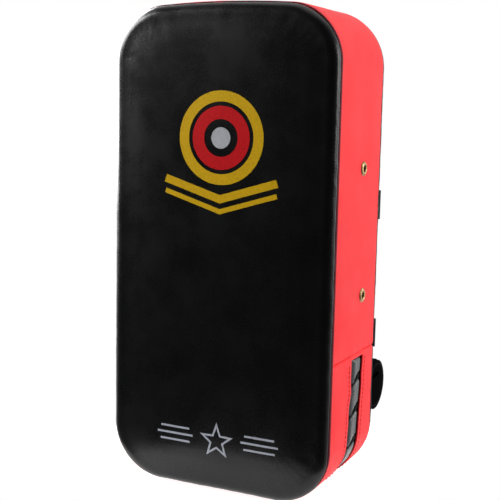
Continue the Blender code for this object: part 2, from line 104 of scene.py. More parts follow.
FLOOR_RINGS = (0.0005, 0.07, 0.12, 0.17)
FLOOR_SIDES = 96
FLOOR_DROP = 1.5 * MM  # how far the floor stays below the pad


def make_camera():
    """A portrait lens low in front of the pad, to its right, tipped a little to one side."""
    azimuth, elevation, tip = math.radians(25.73), math.radians(7.57), -0.022
    distance, lens_to_sensor, shift = 0.8883, 2.0638, (0.0052, -0.0095)
    back = Vector((
        math.sin(azimuth) * math.cos(elevation),
        -math.cos(azimuth) * math.cos(elevation),
        math.sin(elevation),
    ))
    level = Vector((math.cos(azimuth), math.sin(azimuth), 0))
    up = back.cross(level)
    right = math.cos(tip) * level - math.sin(tip) * up
    top = math.sin(tip) * level + math.cos(tip) * up
    turn = Matrix((right, top, back)).transposed().to_4x4()
    data = bpy.data.cameras.new("camera")
    data.sensor_width = 36
    data.lens = lens_to_sensor * data.sensor_width
    data.shift_x, data.shift_y = shift
    camera = bpy.data.objects.new("camera", data)
    bpy.context.scene.collection.objects.link(camera)
    camera.matrix_world = Matrix.Translation(Vector((0, MIDDLE_Y, HEIGHT / 2)) + back * distance) @ turn
    bpy.context.scene.camera = camera


def area_light(name, place, aim, size, watts):
    data = bpy.data.lights.new(name, "AREA")
    data.shape = "RECTANGLE"
    data.size, data.size_y = size
    data.energy = watts
    light = bpy.data.objects.new(name, data)
    bpy.context.scene.collection.objects.link(light)
    light.location = place
    light.rotation_mode = "QUATERNION"
    light.rotation_quaternion = (Vector(aim) - Vector(place)).to_track_quat("-Z", "Y")


def light_scene():
    """White behind the pad, dim in front of it, with softboxes at each side and one above."""
    world = bpy.data.worlds.new("studio")
    bpy.context.scene.world = world
    world.use_nodes = True
    nodes, links = world.node_tree.nodes, world.node_tree.links
    split = nodes.new("ShaderNodeSeparateXYZ")
    links.new(nodes.new("ShaderNodeTexCoord").outputs["Generated"], split.inputs["Vector"])
    falloff = nodes.new("ShaderNodeMapRange")
    set_inputs(falloff, From_Min=-0.3, From_Max=0.45, To_Min=0.03, To_Max=1.0)
    links.new(split.outputs["Y"], falloff.inputs["Value"])
    seen = nodes.new("ShaderNodeMix")
    links.new(nodes.new("ShaderNodeLightPath").outputs["Is Camera Ray"], seen.inputs["Factor"])
    links.new(falloff.outputs["Result"], seen.inputs["A"])
    seen.inputs["B"].default_value = 1.0
    links.new(seen.outputs["Result"], nodes["Background"].inputs["Strength"])
    nodes["Background"].inputs["Color"].default_value = (1, 1, 1, 1)
    chest, shoulder = (0, MIDDLE_Y, 0.2), (0, MIDDLE_Y, 0.3)
    area_light("key_left", (-1.7, -0.85, 1.15), shoulder, (1.0, 1.0), 48)
    area_light("sheen_left", (-1.15, -1.25, 0.75), (-0.1, MIDDLE_Y, 0.3), (0.8, 0.8), 0.8)
    area_light("edge_left", (-1.25, 0.48, 0.78), shoulder, (1.0, 1.0), 32)
    area_light("strip_left", (-1.3, 0.25, 0.62), chest, (1.3, 1.0), 45)
    area_light("fill_right", (1.35, 0.75, 0.7), chest, (0.9, 1.4), 4.5)
    area_light("strip_right", (1.45, -0.1, 0.6), chest, (0.5, 0.8), 8)
    area_light("edge_right", (1.2, 1.0, 0.5), chest, (0.5, 1.4), 6)
    area_light("top", (0.1, 0.1, 1.7), chest, (1.2, 1.2), 3)
    bpy.context.scene.view_settings.view_transform = "Standard"


def build_floor():
    """A round white table top, a little narrower than the pad is tall."""
    rows = []
    turn = np.linspace(0, 2 * np.pi, FLOOR_SIDES, endpoint=False)
    for radius in FLOOR_RINGS:
        rows.append(np.stack([radius * np.cos(turn), radius * np.sin(turn), 0 * turn - FLOOR_DROP], -1))
    grid_object("studio_floor", np.array(rows), pale_floor(), around=True)


# ---------------------------------------------------------------- mesh helpers


def add_object(name, mesh, material):
    mesh.materials.append(material)
    thing = bpy.data.objects.new(name, mesh)
    bpy.context.scene.collection.objects.link(thing)
    return thing


def smooth(mesh, angle=50):
    mesh.shade_smooth()
    mesh.set_sharp_from_angle(angle=math.radians(angle))


def quads(count, size, around):
    """Faces over a grid of count rows. around joins each row's last point to its first."""
    faces = []
    for r in range(count - 1):
        for c in range(size if around else size - 1):
            n = (c + 1) % size
            faces.append((r * size + c, r * size + n, (r + 1) * size + n, (r + 1) * size + c))
    return faces


def mesh_object(name, points, faces, material, flip=False, uv=None, angle=50):
    if flip:
        faces = [face[::-1] for face in faces]
    mesh = bpy.data.meshes.new(name)
    mesh.from_pydata(np.asarray(points).reshape(-1, 3).tolist(), [], faces)
    if uv is not None:
        layer = mesh.uv_layers.new(name="UVMap")
        order = np.array([loop.vertex_index for loop in mesh.loops])
        layer.data.foreach_set("uv", np.asarray(uv, float).reshape(-1, 2)[order].ravel())
    smooth(mesh, angle)
    return add_object(name, mesh, material)


def grid_object(name, rows, material, flip=False, around=False, caps=False, uv=None):
    """A sheet of quads over rows of points, closed at both ends by caps."""
    rows = np.asarray(rows, float)
    count, size = rows.shape[:2]
    faces = quads(count, size, around)
    if caps:
        faces.append(tuple(range(size))[::-1])
        faces.append(tuple(range((count - 1) * size, count * size)))
    return mesh_object(name, rows, faces, material, flip, uv)


def join_objects(things, name):
    """One object out of several meshes."""
    bm = bmesh.new()
    for thing in things:
        bm.from_mesh(thing.data)
    mesh = bpy.data.meshes.new(name)
    bm.to_mesh(mesh)
    bm.free()
    material = things[0].data.materials[0]
    for thing in things:
        bpy.data.objects.remove(thing, do_unlink=True)
    smooth(mesh)
    return add_object(name, mesh, material)


def coordinates(mesh):
    co = np.empty(len(mesh.vertices) * 3)
    mesh.vertices.foreach_get("co", co)
    return co.reshape(-1, 3)


def wave_noise(points, scale, seed=0.0):
    """Smooth noise from -1 to 1 at each point."""
    shift = Vector((seed * 7.3, seed * 3.1, seed * 5.7))
    return np.array([noise.noise(Vector(p) * scale + shift) for p in np.asarray(points).reshape(-1, 3)])


def smoothstep(value, low, high):
    t = np.clip((np.asarray(value, float) - low) / (high - low), 0, 1)
    return t * t * (3 - 2 * t)


def lengths_along(line):
    """How far each point of a line is from its start."""
    return np.concatenate([[0], np.cumsum(np.linalg.norm(np.diff(line, axis=0), axis=1))])


def at_length(line, along, wanted):
    """What a line says at one distance or more along it."""
    return np.stack([np.interp(wanted, along, line[:, k]) for k in range(line.shape[1])], -1)


def evenly_spaced(line, spacing):
    """The same line with its points a fixed distance apart."""
    line = np.asarray(line, float)
    along = lengths_along(line)
    count = max(2, int(round(along[-1] / spacing)) + 1)
    return at_length(line, along, np.linspace(0, along[-1], count))


def tube(name, line, radius, sides, material, flat=1.0, up=(0, 0, 1), closed=False):
    """A round or flattened cord along a line."""
    line = np.asarray(line, float)
    if closed:
        run = np.roll(line, -1, 0) - np.roll(line, 1, 0)
    else:
        run = np.gradient(line, axis=0)
    run /= np.linalg.norm(run, axis=1)[:, None]
    side = np.cross(run, np.broadcast_to(np.asarray(up, float), run.shape))
    side /= np.linalg.norm(side, axis=1)[:, None]
    rise = np.cross(side, run)
    angle = np.linspace(0, 2 * np.pi, sides, endpoint=False)
    rows = (line[:, None] + radius * np.cos(angle)[None, :, None] * side[:, None]
            + radius * flat * np.sin(angle)[None, :, None] * rise[:, None])
    if closed:
        rows = np.concatenate([rows, rows[:1]])
    thing = grid_object(name, rows, material, around=True, caps=not closed)
    if closed:
        weld(thing)
    return thing


def weld(thing, distance=0.00001):
    bm = bmesh.new()
    bm.from_mesh(thing.data)
    bmesh.ops.remove_doubles(bm, verts=bm.verts, dist=distance)
    bm.to_mesh(thing.data)
    bm.free()


def turned(name, profile, sides, centre, axis, material, caps=True):
    """A profile of (radius, distance) points turned about an axis through centre."""
    axis = Vector(axis).normalized()
    side = axis.orthogonal().normalized()
    other = axis.cross(side)
    rows = []
    for radius, distance in profile:
        ring = []
        for i in range(sides):
            a = 2 * math.pi * i / sides
            out = side * radius * math.cos(a) + other * radius * math.sin(a)
            ring.append(Vector(centre) + axis * distance + out)
        rows.append(ring)
    return grid_object(name, np.array(rows), material, around=True, caps=caps)


STITCH_LENGTH = 2.6 * MM
STITCH_GAP = 1.3 * MM
STITCH_RADIUS = 0.32 * MM
STITCH_SIDES = 6
STITCH_SHAPE = ((0.0, 0.25), (0.18, 0.85), (0.5, 1.0), (0.82, 0.85), (1.0, 0.25))  # (share of length, size)


def stitches(name, line, out, material):
    """A row of short thread stitches along a line, standing on a surface whose normal is out."""
    line = np.asarray(line, float)
    out = np.broadcast_to(np.asarray(out, float), line.shape)
    along = lengths_along(line)
    rings = len(STITCH_SHAPE)
    verts, faces = [], []
    place = STITCH_GAP / 2
    while place + STITCH_LENGTH <= along[-1]:
        base = len(verts)
        first, last = (at_length(line, along, at) for at in (place, place + STITCH_LENGTH))
        run = last - first
        run /= np.linalg.norm(run)
        normal = at_length(out, along, place) + at_length(out, along, place + STITCH_LENGTH)
        normal -= run * (normal @ run)
        normal /= np.linalg.norm(normal)
        side = np.cross(run, normal)
        for share, size in STITCH_SHAPE:
            lift = STITCH_RADIUS * (1.1 * math.sin(math.pi * share) - 0.45)
            centre = first * (1 - share) + last * share + normal * lift
            for k in range(STITCH_SIDES):
                a = 2 * math.pi * k / STITCH_SIDES
                reach = math.cos(a) * side + 0.8 * math.sin(a) * normal
                verts.append(centre + STITCH_RADIUS * size * reach)
        faces += [tuple(base + k for k in face) for face in quads(rings, STITCH_SIDES, True)]
        faces.append(tuple(base + k for k in reversed(range(STITCH_SIDES))))
        faces.append(tuple(base + (rings - 1) * STITCH_SIDES + k for k in range(STITCH_SIDES)))
        place += STITCH_LENGTH + STITCH_GAP
    return mesh_object(name, verts, faces, material, angle=80)


# ---------------------------------------------------------------- materials


class Finish:
    """A Principled material with a few shortcuts for the node work it needs."""

    def __init__(self, name, colour, roughness, metallic=0.0, **inputs):
        self.material = bpy.data.materials.new(name)
        self.material.use_nodes = True
        self.nodes = self.material.node_tree.nodes
        self.links = self.material.node_tree.links
        self.shader = self.nodes["Principled BSDF"]
        set_inputs(self.shader, Base_Color=(*colour, 1), Roughness=roughness, Metallic=metallic, **inputs)
        self.space = self.nodes.new("ShaderNodeTexCoord").outputs["Object"]

    def texture(self, kind, scale, **inputs):
        made = self.nodes.new(kind)
        self.links.new(self.space, made.inputs["Vector"])
        set_inputs(made, Scale=scale, **inputs)
        return made

    def noise(self, scale, detail=3.0, **inputs):
        return self.texture("ShaderNodeTexNoise", scale, Detail=detail, **inputs).outputs["Fac"]

    def cells(self, scale, **inputs):
        return self.texture("ShaderNodeTexVoronoi", scale, **inputs).outputs["Distance"]

    def ramp(self, source, stops):
        made = self.nodes.new("ShaderNodeValToRGB")
        for element, (position, colour) in zip(made.color_ramp.elements, (stops[0], stops[-1])):
            element.position = position
            element.color = (*colour, 1)
        for position, colour in stops[1:-1]:
            made.color_ramp.elements.new(position).color = (*colour, 1)
        self.links.new(source, made.inputs["Fac"])
        return made.outputs["Color"]

    def span(self, source, low, high, source_low=0.0, source_high=1.0):
        made = self.nodes.new("ShaderNodeMapRange")
        set_inputs(made, From_Min=source_low, From_Max=source_high, To_Min=low, To_Max=high)
        self.links.new(source, made.inputs["Value"])
        return made.outputs["Result"]

    def math(self, operation, a, b):
        made = self.nodes.new("ShaderNodeMath")
        made.operation = operation
        for socket, value in zip(made.inputs, (a, b)):
            if isinstance(value, (int, float)):
                socket.default_value = value
            else:
                self.links.new(value, socket)
        return made.outputs["Value"]

    def colour(self, source):
        self.links.new(source, self.shader.inputs["Base Color"])

    def roughness(self, source):
        self.links.new(source, self.shader.inputs["Roughness"])

    def bump(self, height, distance):
        made = self.nodes.new("ShaderNodeBump")
        set_inputs(made, Strength=1.0, Distance=distance)
        self.links.new(height, made.inputs["Height"])
        self.links.new(made.outputs["Normal"], self.shader.inputs["Normal"])


def darker(colour, share):
    return tuple(channel * share for channel in colour)


def leather(name, colour, roughness, grain=0.06 * MM, pebble=900.0, spread=0.12, **inputs):
    """Coated leather cloth: fine pebbles, soft creases, and small changes of tone and gloss."""
    finish = Finish(name, colour, roughness, **inputs)
    tone = finish.noise(26.0, 4.0)
    finish.colour(finish.ramp(tone, [
        (0.3, darker(colour, 1 - spread)), (0.52, colour), (0.75, darker(colour, 1 + spread)),
    ]))
    pebbles = finish.span(finish.cells(pebble, Randomness=0.9), 1.0, 0.0, 0.0, 0.8)
    creases = finish.noise(230.0, 5.0, Roughness=0.62)
    broad = finish.noise(38.0, 2.0)
    height = finish.math("ADD", finish.math("MULTIPLY", pebbles, 0.55), finish.math("MULTIPLY", creases, 0.7))
    height = finish.math("ADD", height, finish.math("MULTIPLY", broad, 0.8))
    finish.bump(height, grain)
    gloss = finish.math("ADD", finish.span(pebbles, 0.05, -0.03), finish.span(broad, -0.05, 0.05, 0.3, 0.7))
    finish.roughness(finish.math("ADD", gloss, roughness))
    return finish.material


RIBS = 620.0         # ribs in a metre of webbing
RIB_DEPTH = 0.18 * MM


def woven(name, colour, roughness, shine=0.25):
    """Narrow webbing: ribs crossed by finer yarns. U runs along it and V across it, in metres."""
    finish = Finish(name, colour, roughness, Specular_IOR_Level=shine)
    split = finish.nodes.new("ShaderNodeSeparateXYZ")
    finish.links.new(finish.nodes["Texture Coordinate"].outputs["UV"], split.inputs["Vector"])
    turn = 2 * math.pi
    warp = finish.math("SINE", finish.math("MULTIPLY", split.outputs["Y"], RIBS * turn), 0)
    weft = finish.math("SINE", finish.math("MULTIPLY", split.outputs["X"], RIBS * turn * 0.75), 0)
    offset = finish.math("MULTIPLY", warp, weft)
    height = finish.math("ADD", finish.math("MULTIPLY", offset, 0.6), finish.math("ABSOLUTE", warp, 0))
    height = finish.math("ADD", height, finish.math("MULTIPLY", finish.noise(1500.0, 2.0), 0.5))
    finish.bump(height, RIB_DEPTH)
    # The colour follows the weave's height: darker in the hollows as painted shade and lighter on the ribs as
    # painted highlight.
    finish.colour(finish.ramp(finish.span(height, 0, 1, -0.6, 2.0), [
        (0.0, darker(colour, 0.45)), (0.5, colour), (1.0, darker(colour, 1.7)),
    ]))
    return finish.material


def fuzzy(name, colour, scale, depth):
    """Hook or loop tape: a dense pile."""
    finish = Finish(name, colour, 0.95, Sheen_Weight=0.6, Sheen_Roughness=0.4)
    tufts = finish.math("MULTIPLY", finish.noise(scale * 0.6, 4.0), 0.8)
    pile = finish.math("ADD", finish.cells(scale), tufts)
    finish.bump(pile, depth)
    # The colour follows the pile's height: darker low down as painted shade and lighter on the tufts as
    # painted highlight.
    finish.colour(finish.ramp(pile, [(0.2, darker(colour, 0.5)), (0.7, colour), (1.1, darker(colour, 2.2))]))
    return finish.material


def cord_material(name, colour, pitch=900.0):
    """Twisted cord or thread. pitch is how fast the twist turns."""
    finish = Finish(name, colour, 0.85, Specular_IOR_Level=0.2)
    twist = finish.texture("ShaderNodeTexWave", pitch / 6.28, Distortion=1.5, Detail=2.0).outputs["Fac"]
    finish.bump(finish.math("ADD", twist, finish.noise(1800.0, 3.0)), 0.15 * MM)
    # The colour follows the twist that also makes the bump: darker in the grooves as painted shade and
    # lighter on the plies as painted highlight.
    finish.colour(finish.ramp(twist, [(0.1, darker(colour, 0.5)), (0.8, darker(colour, 1.4))]))
    return finish.material


def metal(name, colour, roughness, patina, grime=0.35):
    """Plated metal with a duller, rougher patina in clouds."""
    finish = Finish(name, colour, roughness, 1.0)
    cloud = finish.noise(420.0, 5.0, Roughness=0.65)
    finish.colour(finish.ramp(cloud, [(0.34, patina), (0.5, darker(colour, 0.8)), (0.66, colour)]))
    finish.roughness(finish.span(cloud, roughness + grime, roughness, 0.35, 0.62))
    finish.bump(finish.noise(1400.0, 4.0), 0.03 * MM)
    return finish.material


def printed(name, colour):
    """A screen print: a thin even film with a faint trace of the leather under it."""
    finish = Finish(name, colour, 0.42, Specular_IOR_Level=0.2)
    speckle = finish.noise(900.0, 4.0)
    finish.colour(finish.ramp(speckle, [
        (0.3, darker(colour, 0.82)), (0.55, colour), (0.8, darker(colour, 1.06)),
    ]))
    finish.roughness(finish.span(speckle, 0.34, 0.55))
    finish.bump(finish.cells(900.0), 0.03 * MM)
    return finish.material


def pale_floor():
    finish = Finish("pale_floor", (0.33, 0.33, 0.33), 0.7, Specular_IOR_Level=0.1,
                    Emission_Color=(1, 1, 1, 1), Emission_Strength=0.92)
    finish.colour(finish.ramp(finish.noise(1.5, 2.0), [(0.3, (0.32, 0.32, 0.32)), (0.7, (0.34, 0.34, 0.34))]))
    return finish.material


BLACK = leather("black_leather_cloth", (0.0045, 0.0046, 0.005), 0.26, grain=0.03 * MM,
                Specular_IOR_Level=0.35)
RED = leather("red_leather_cloth", (0.90, 0.028, 0.034), 0.5, grain=0.04 * MM, spread=0.05,
              Specular_IOR_Level=0.1)
GLOSSY = leather("glossy_tongue", (0.022, 0.024, 0.028), 0.22, grain=0.03 * MM)
GRIP_BLACK = leather("grip_leather", (0.004, 0.004, 0.0045), 0.6, grain=0.09 * MM, pebble=700.0,
                     Specular_IOR_Level=0.0)
# Dark red for the cord along the striking cover's seam: painted shade for the shadow in the seam's groove.
SEAM_SHADE_RED = leather("seam_shade_leather", (0.11, 0.006, 0.012), 0.6, grain=0.03 * MM,
                   Specular_IOR_Level=0.1)
WEBBING = woven("black_webbing", (0.008, 0.008, 0.0085), 0.9)
GRIP_WEBBING = woven("grip_webbing", (0.003, 0.003, 0.0033), 0.95, shine=0.0)
LOOPS = fuzzy("loop_tape", (0.018, 0.018, 0.02), 1300.0, 0.5 * MM)
HOOKS = fuzzy("hook_tape", (0.012, 0.012, 0.013), 800.0, 0.6 * MM)
LACE = cord_material("lace_cord", (0.004, 0.004, 0.0045))
BLACK_THREAD = cord_material("black_thread", (0.02, 0.02, 0.02), 2600.0)
RED_THREAD = cord_material("red_thread", (0.8, 0.03, 0.035), 2600.0)
BRASS = metal("antique_brass", (0.52, 0.36, 0.17), 0.28, (0.14, 0.09, 0.04))
NICKEL = metal("nickel_wire", (0.72, 0.71, 0.69), 0.16, (0.45, 0.44, 0.42), 0.12)
# A dark disc deep in each eyelet's bore: painted shade for the dark inside of the bore.
VENT_SHADE = fuzzy("vent_shade_disc", (0.02, 0.014, 0.009), 2200.0, 0.3 * MM)
YELLOW_PRINT = printed("yellow_print", (0.82, 0.49, 0.004))
RED_PRINT = printed("red_print", (0.72, 0.004, 0.009))
WHITE_PRINT = printed("white_print", (0.58, 0.59, 0.63))
SILVER_PRINT = printed("silver_print", (0.42, 0.44, 0.50))

# ---------------------------------------------------------------- the pad's outline

SIDE_LENGTH = HEIGHT - TOP_ARCH - TOP_RADIUS - BOTTOM_RADIUS
MARKS = np.cumsum([
    0, HALF_WIDTH - BOTTOM_RADIUS, math.pi / 2 * BOTTOM_RADIUS, SIDE_LENGTH, math.pi / 2 * TOP_RADIUS,
    HALF_WIDTH - TOP_RADIUS,
])
ROUND = 2 * MARKS[-1]                                     # length of the whole outline
SEAM_AT = MARKS[2] + SEAM_Z - BOTTOM_RADIUS               # where the cross seam meets it
COLUMNS = (20, 26, 104, 30, 18)                           # steps of each stretch of half the outline


def arched(x, z):
    """Points (x, z) with the top edge lifted by its arch, which dies away downwards and to the sides."""
    share = np.clip((z - HEIGHT / 2) / (HEIGHT / 2 - TOP_ARCH), 0, 1) ** 4
    return np.stack([x, z + TOP_ARCH * (1 - (x / HALF_WIDTH) ** 2) * share], -1)


def edge_points(along, inset):
    """Points (x, z) set in from the outline. along runs anticlockwise from the middle of the bottom."""
    along = np.asarray(along, float) % ROUND
    inset = inset + 0 * along
    side = np.where(along < ROUND / 2, 1, -1)
    s = np.minimum(along, ROUND - along)
    low = (s - MARKS[1]) / BOTTOM_RADIUS
    high = (s - MARKS[3]) / TOP_RADIUS
    stretch = [s < MARKS[1], s < MARKS[2], s < MARKS[3], s < MARKS[4]]
    x = np.select(stretch, [
        s, HALF_WIDTH - BOTTOM_RADIUS + (BOTTOM_RADIUS - inset) * np.sin(low), HALF_WIDTH - inset,
        HALF_WIDTH - TOP_RADIUS + (TOP_RADIUS - inset) * np.cos(high),
    ], MARKS[5] - s)
    z = np.select(stretch, [
        inset, BOTTOM_RADIUS - (BOTTOM_RADIUS - inset) * np.cos(low), s - MARKS[2] + BOTTOM_RADIUS,
        HEIGHT - TOP_ARCH - TOP_RADIUS + (TOP_RADIUS - inset) * np.sin(high),
    ], HEIGHT - TOP_ARCH - inset)
    return arched(side * x, z)


def face_ring(inset):
    """A ring of points (x, z) on a panel. Its corners tighten as it shrinks towards the middle."""
    low = max(BOTTOM_RADIUS - inset, 2 * MM)
    high = max(TOP_RADIUS - inset, 2 * MM)
    half = HALF_WIDTH - inset
    top = HEIGHT - TOP_ARCH - inset
    down = np.pi / 2 * np.arange(COLUMNS[1]) / COLUMNS[1]
    up = np.pi / 2 * np.arange(COLUMNS[3]) / COLUMNS[3]
    base, side, over = (np.arange(COLUMNS[k]) / COLUMNS[k] for k in (0, 2, 4))
    x = np.concatenate([
        (half - low) * base, half - low + low * np.sin(down), half + 0 * side,
        half - high + high * np.cos(up), (half - high) * (1 - over), [0.0],
    ])
    z = np.concatenate([
        inset + 0 * base, inset + low - low * np.cos(down), inset + low + (top - high - inset - low) * side,
        top - high + high * np.sin(up), top + 0 * over, [top],
    ])
    return arched(np.concatenate([x, -x[-2:0:-1]]), np.concatenate([z, z[-2:0:-1]]))


def in_depth(points, back):
    """Points (x, z) placed at a distance back from the pad's middle plane."""
    points = np.asarray(points)
    back = np.broadcast_to(back, points.shape[:-1])
    return np.stack([points[..., 0], back + MIDDLE_Y, points[..., 1]], -1)


def panel_object(name, profile, material, flip):
    """A panel over rings at (inset, back), closed across its middle by quads from side to side."""
    rings = [in_depth(face_ring(inset), back) for inset, back in profile]
    size = len(rings[0])
    faces = quads(len(rings), size, True)
    last = (len(rings) - 1) * size
    for i in range(size // 2):
        quad = [last + i, last + i + 1, last + (size - i - 1) % size, last + (size - i) % size]
        faces.append(tuple(dict.fromkeys(quad)))
    return mesh_object(name, np.concatenate(rings), faces, material, flip)


# ---------------------------------------------------------------- how the cover swells

EYELET_PLACES = [middle(f"vent_eyelet_right_{level}") for level in ("upper", "lower")]


def closed_body():
    """The pad's plain closed shape, which the cloth starts from."""
    side = [(0.0, -HALF_DEPTH), (0.0, 0.0), (0.0, HALF_DEPTH)]
    front = rolled(FRONT_ROLL, -HALF_DEPTH, -FRONT_CROWN, FRONT_SLOPE)
    back = rolled(BACK_ROLL, HALF_DEPTH, BACK_CROWN)
    fronts = panel_object("front", front + inwards(FRONT_ROLL, -HALF_DEPTH - FRONT_CROWN), BLACK, False)
    backs = panel_object("back", back + inwards(BACK_ROLL, HALF_DEPTH + BACK_CROWN), BLACK, True)
    rows = [in_depth(face_ring(inset), depth) for inset, depth in side]
    sides = grid_object("sides", np.array(rows), BLACK, around=True)
    body = join_objects([fronts, sides, backs], "cloth_body")
    weld(body, 0.05 * MM)
    return body


ROLL_STEPS = 12
PANEL_STEP = 3.2 * MM
PANEL_MIDDLE = 5 * MM  # half the width left inside a panel's last ring


def rolled(roll, start, crown, slope=0.0):
    """(inset, back) places round a panel's rolled edge. It leaves the seam square, or at a slope."""
    t = np.arange(ROLL_STEPS + 1) / ROLL_STEPS
    first, second, third = 3 * t * (1 - t) ** 2, 3 * t * t * (1 - t), t ** 3
    inset = roll * (slope * first + (0.45 + slope / 4) * second + third)
    back = start + crown * (0.55 * first + second + third)
    return list(zip(inset, back))


def inwards(start, back):
    """(inset, back) places from a panel's rolled edge to its middle."""
    end = HALF_WIDTH - PANEL_MIDDLE
    count = int((end - start) / PANEL_STEP)
    return [(start + (end - start) * i / count, back) for i in range(1, count + 1)]


def near_line(distance, close, far):
    """1 within close of a line, 0 beyond far."""
    return 1 - smoothstep(distance, close, far)


def seam_distances(points):
    """How far each point lies from the outline, from a panel's seam and from a cross seam."""
    back = points[:, 1] - MIDDLE_Y
    out = outline_distance(points)
    rim = np.minimum(np.hypot(back + HALF_DEPTH, out), np.hypot(back - HALF_DEPTH, out))
    return out, rim, np.hypot(points[:, 2] - SEAM_Z, out)


def seam_hold(points):
    """How firmly each point is held by the seams, the laced slot and the eyelets, from 0 to 1."""
    x, back, z = points[:, 0], points[:, 1] - MIDDLE_Y, points[:, 2]
    out, rim, cross = seam_distances(points)
    hold = near_line(rim, 2 * MM, 13 * MM)
    hold = np.maximum(hold, 0.8 * near_line(cross, 2 * MM, 14 * MM))
    slot = np.maximum(np.maximum(SLOT_FRONT - MIDDLE_Y - back, back - SLOT_REAR + MIDDLE_Y), 0)
    below = np.where(z < SEAM_Z, np.hypot(slot, out), 1.0)
    hold = np.maximum(hold, near_line(below, 3 * MM, 18 * MM))
    for place in EYELET_PLACES:
        away = np.sqrt((points[:, 1] - place.y) ** 2 + (z - place.z) ** 2 + (HALF_WIDTH - np.abs(x)) ** 2)
        hold = np.maximum(hold, 0.85 * near_line(away, 5 * MM, 20 * MM))
    return hold


def outline_distance(points):
    """How far each point lies in from the outline."""
    x, z = np.abs(points[:, 0]), points[:, 2]
    rise = np.clip((z - HEIGHT / 2) / (HEIGHT / 2 - TOP_ARCH), 0, 1)
    lifted = z - TOP_ARCH * (1 - (x / HALF_WIDTH) ** 2) * rise ** 4
    upper = lifted > HEIGHT / 2
    radius = np.where(upper, TOP_RADIUS, BOTTOM_RADIUS)
    top = np.where(upper, HEIGHT - TOP_ARCH - lifted, lifted)
    dx = np.maximum(radius - (HALF_WIDTH - x), 0)
    dz = np.maximum(radius - top, 0)
    corner = radius - np.hypot(dx, dz)
    return np.where((dx > 0) & (dz > 0), corner, np.minimum(HALF_WIDTH - x, top))


def evaluated_mesh(thing):
    """A thing's mesh after its modifiers."""
    return bpy.data.meshes.new_from_object(thing.evaluated_get(bpy.context.evaluated_depsgraph_get()))


CLOTH_FRAMES = 20
CLOTH_VOXEL = 5 * MM
CLOTH_SETTINGS = {
    "quality": 6,
    "mass": 0.25,
    "tension_stiffness": 22,
    "compression_stiffness": 22,
    "shear_stiffness": 8,
    "bending_stiffness": 0.6,
    "use_pressure": True,
    "uniform_pressure_force": 4,
    "vertex_group_mass": "held",
    "pin_stiffness": 1,
}
SIDE_CAP = 0.9 * MM  # about the most that the sides move
FACE_CAP = 2.0 * MM  # how much more the middle of a face may move


class Swell:
    """The move that a cloth simulation under the foam's pressure gives each part of the cover."""

    def __init__(self):
        self.tree = None
        body = closed_body()
        remesh = body.modifiers.new("voxels", "REMESH")
        remesh.mode = "VOXEL"
        remesh.voxel_size = CLOTH_VOXEL
        coarse = evaluated_mesh(body)
        bpy.data.objects.remove(body, do_unlink=True)
        cloth_body = add_object("cloth_coarse", coarse, BLACK)
        rest = coordinates(coarse)
        held = cloth_body.vertex_groups.new(name="held")
        for i, hold in enumerate(seam_hold(rest)):
            held.add([i], float(hold), "REPLACE")
        cloth = cloth_body.modifiers.new("cloth", "CLOTH")
        for key, value in CLOTH_SETTINGS.items():
            setattr(cloth.settings, key, value)
        cloth.settings.effector_weights.gravity = 0
        cloth.point_cache.frame_start = 1
        cloth.point_cache.frame_end = CLOTH_FRAMES
        scene = bpy.context.scene
        for step in range(1, CLOTH_FRAMES + 1):
            scene.frame_set(step)
        self.moves = self.capped(rest, coordinates(evaluated_mesh(cloth_body)) - rest)
        scene.frame_set(1)
        bpy.data.objects.remove(cloth_body, do_unlink=True)
        self.tree = KDTree(len(rest))
        for i, point in enumerate(rest):
            self.tree.insert(point, i)
        self.tree.balance()

    @staticmethod
    def capped(rest, moves):
        """Moves eased to a few millimetres on the faces and less on the sides."""
        length = np.linalg.norm(moves, axis=1)
        print("cloth moved", round(float(length.max()) / MM, 2), "mm at most,",
              round(float(length.mean()) / MM, 2), "on average")
        face = smoothstep(outline_distance(rest), 4 * MM, 40 * MM)
        cap = SIDE_CAP + FACE_CAP * face
        return moves * (cap * np.tanh(length / cap) / np.maximum(length, 1e-9))[:, None]

    def at(self, points):
        """The move at each point, blended from the nearest cloth points."""
        if self.tree is None:
            return 0 * points
        moved = np.zeros_like(points)
        for i, point in enumerate(points):
            near = self.tree.find_n(point, 7)
            weights = np.array([1 / (distance + 1.5 * MM) ** 2 for _, _, distance in near])
            moved[i] = (self.moves[[index for _, index, _ in near]] * weights[:, None]).sum(0) / weights.sum()
        return moved


def seam_puckers(points, seed):
    """Short gathers beside the seams, as a distance to move outwards."""
    _, rim, cross = seam_distances(points)
    gathers = wave_noise(points, 120.0, seed) * 0.55 + wave_noise(points, 250.0, seed + 1) * 0.3
    fade = np.exp(-rim / (4.5 * MM)) + 1.5 * np.exp(-cross / (5.5 * MM))
    return 0.55 * MM * gathers * np.clip(fade, 0, 1.5) + 0.25 * MM * wave_noise(points, 22.0, seed + 2)


def dress(thing, swell, seed, keep=None):
    """Swell a clean cover piece as the cloth did, and gather it along its seams."""
    mesh = thing.data
    points = coordinates(mesh)
    moves = swell.at(points)
    mesh.update()
    normals = np.array([vertex.normal for vertex in mesh.vertices])
    moves += normals * seam_puckers(points, seed)[:, None]
    if keep is not None:
        moves *= keep(points)[:, None]
    points = points + moves
    points[:, 2] = np.maximum(points[:, 2], 0.0)
    mesh.vertices.foreach_set("co", points.ravel())
    mesh.update()


# ---------------------------------------------------------------- the pad's cover

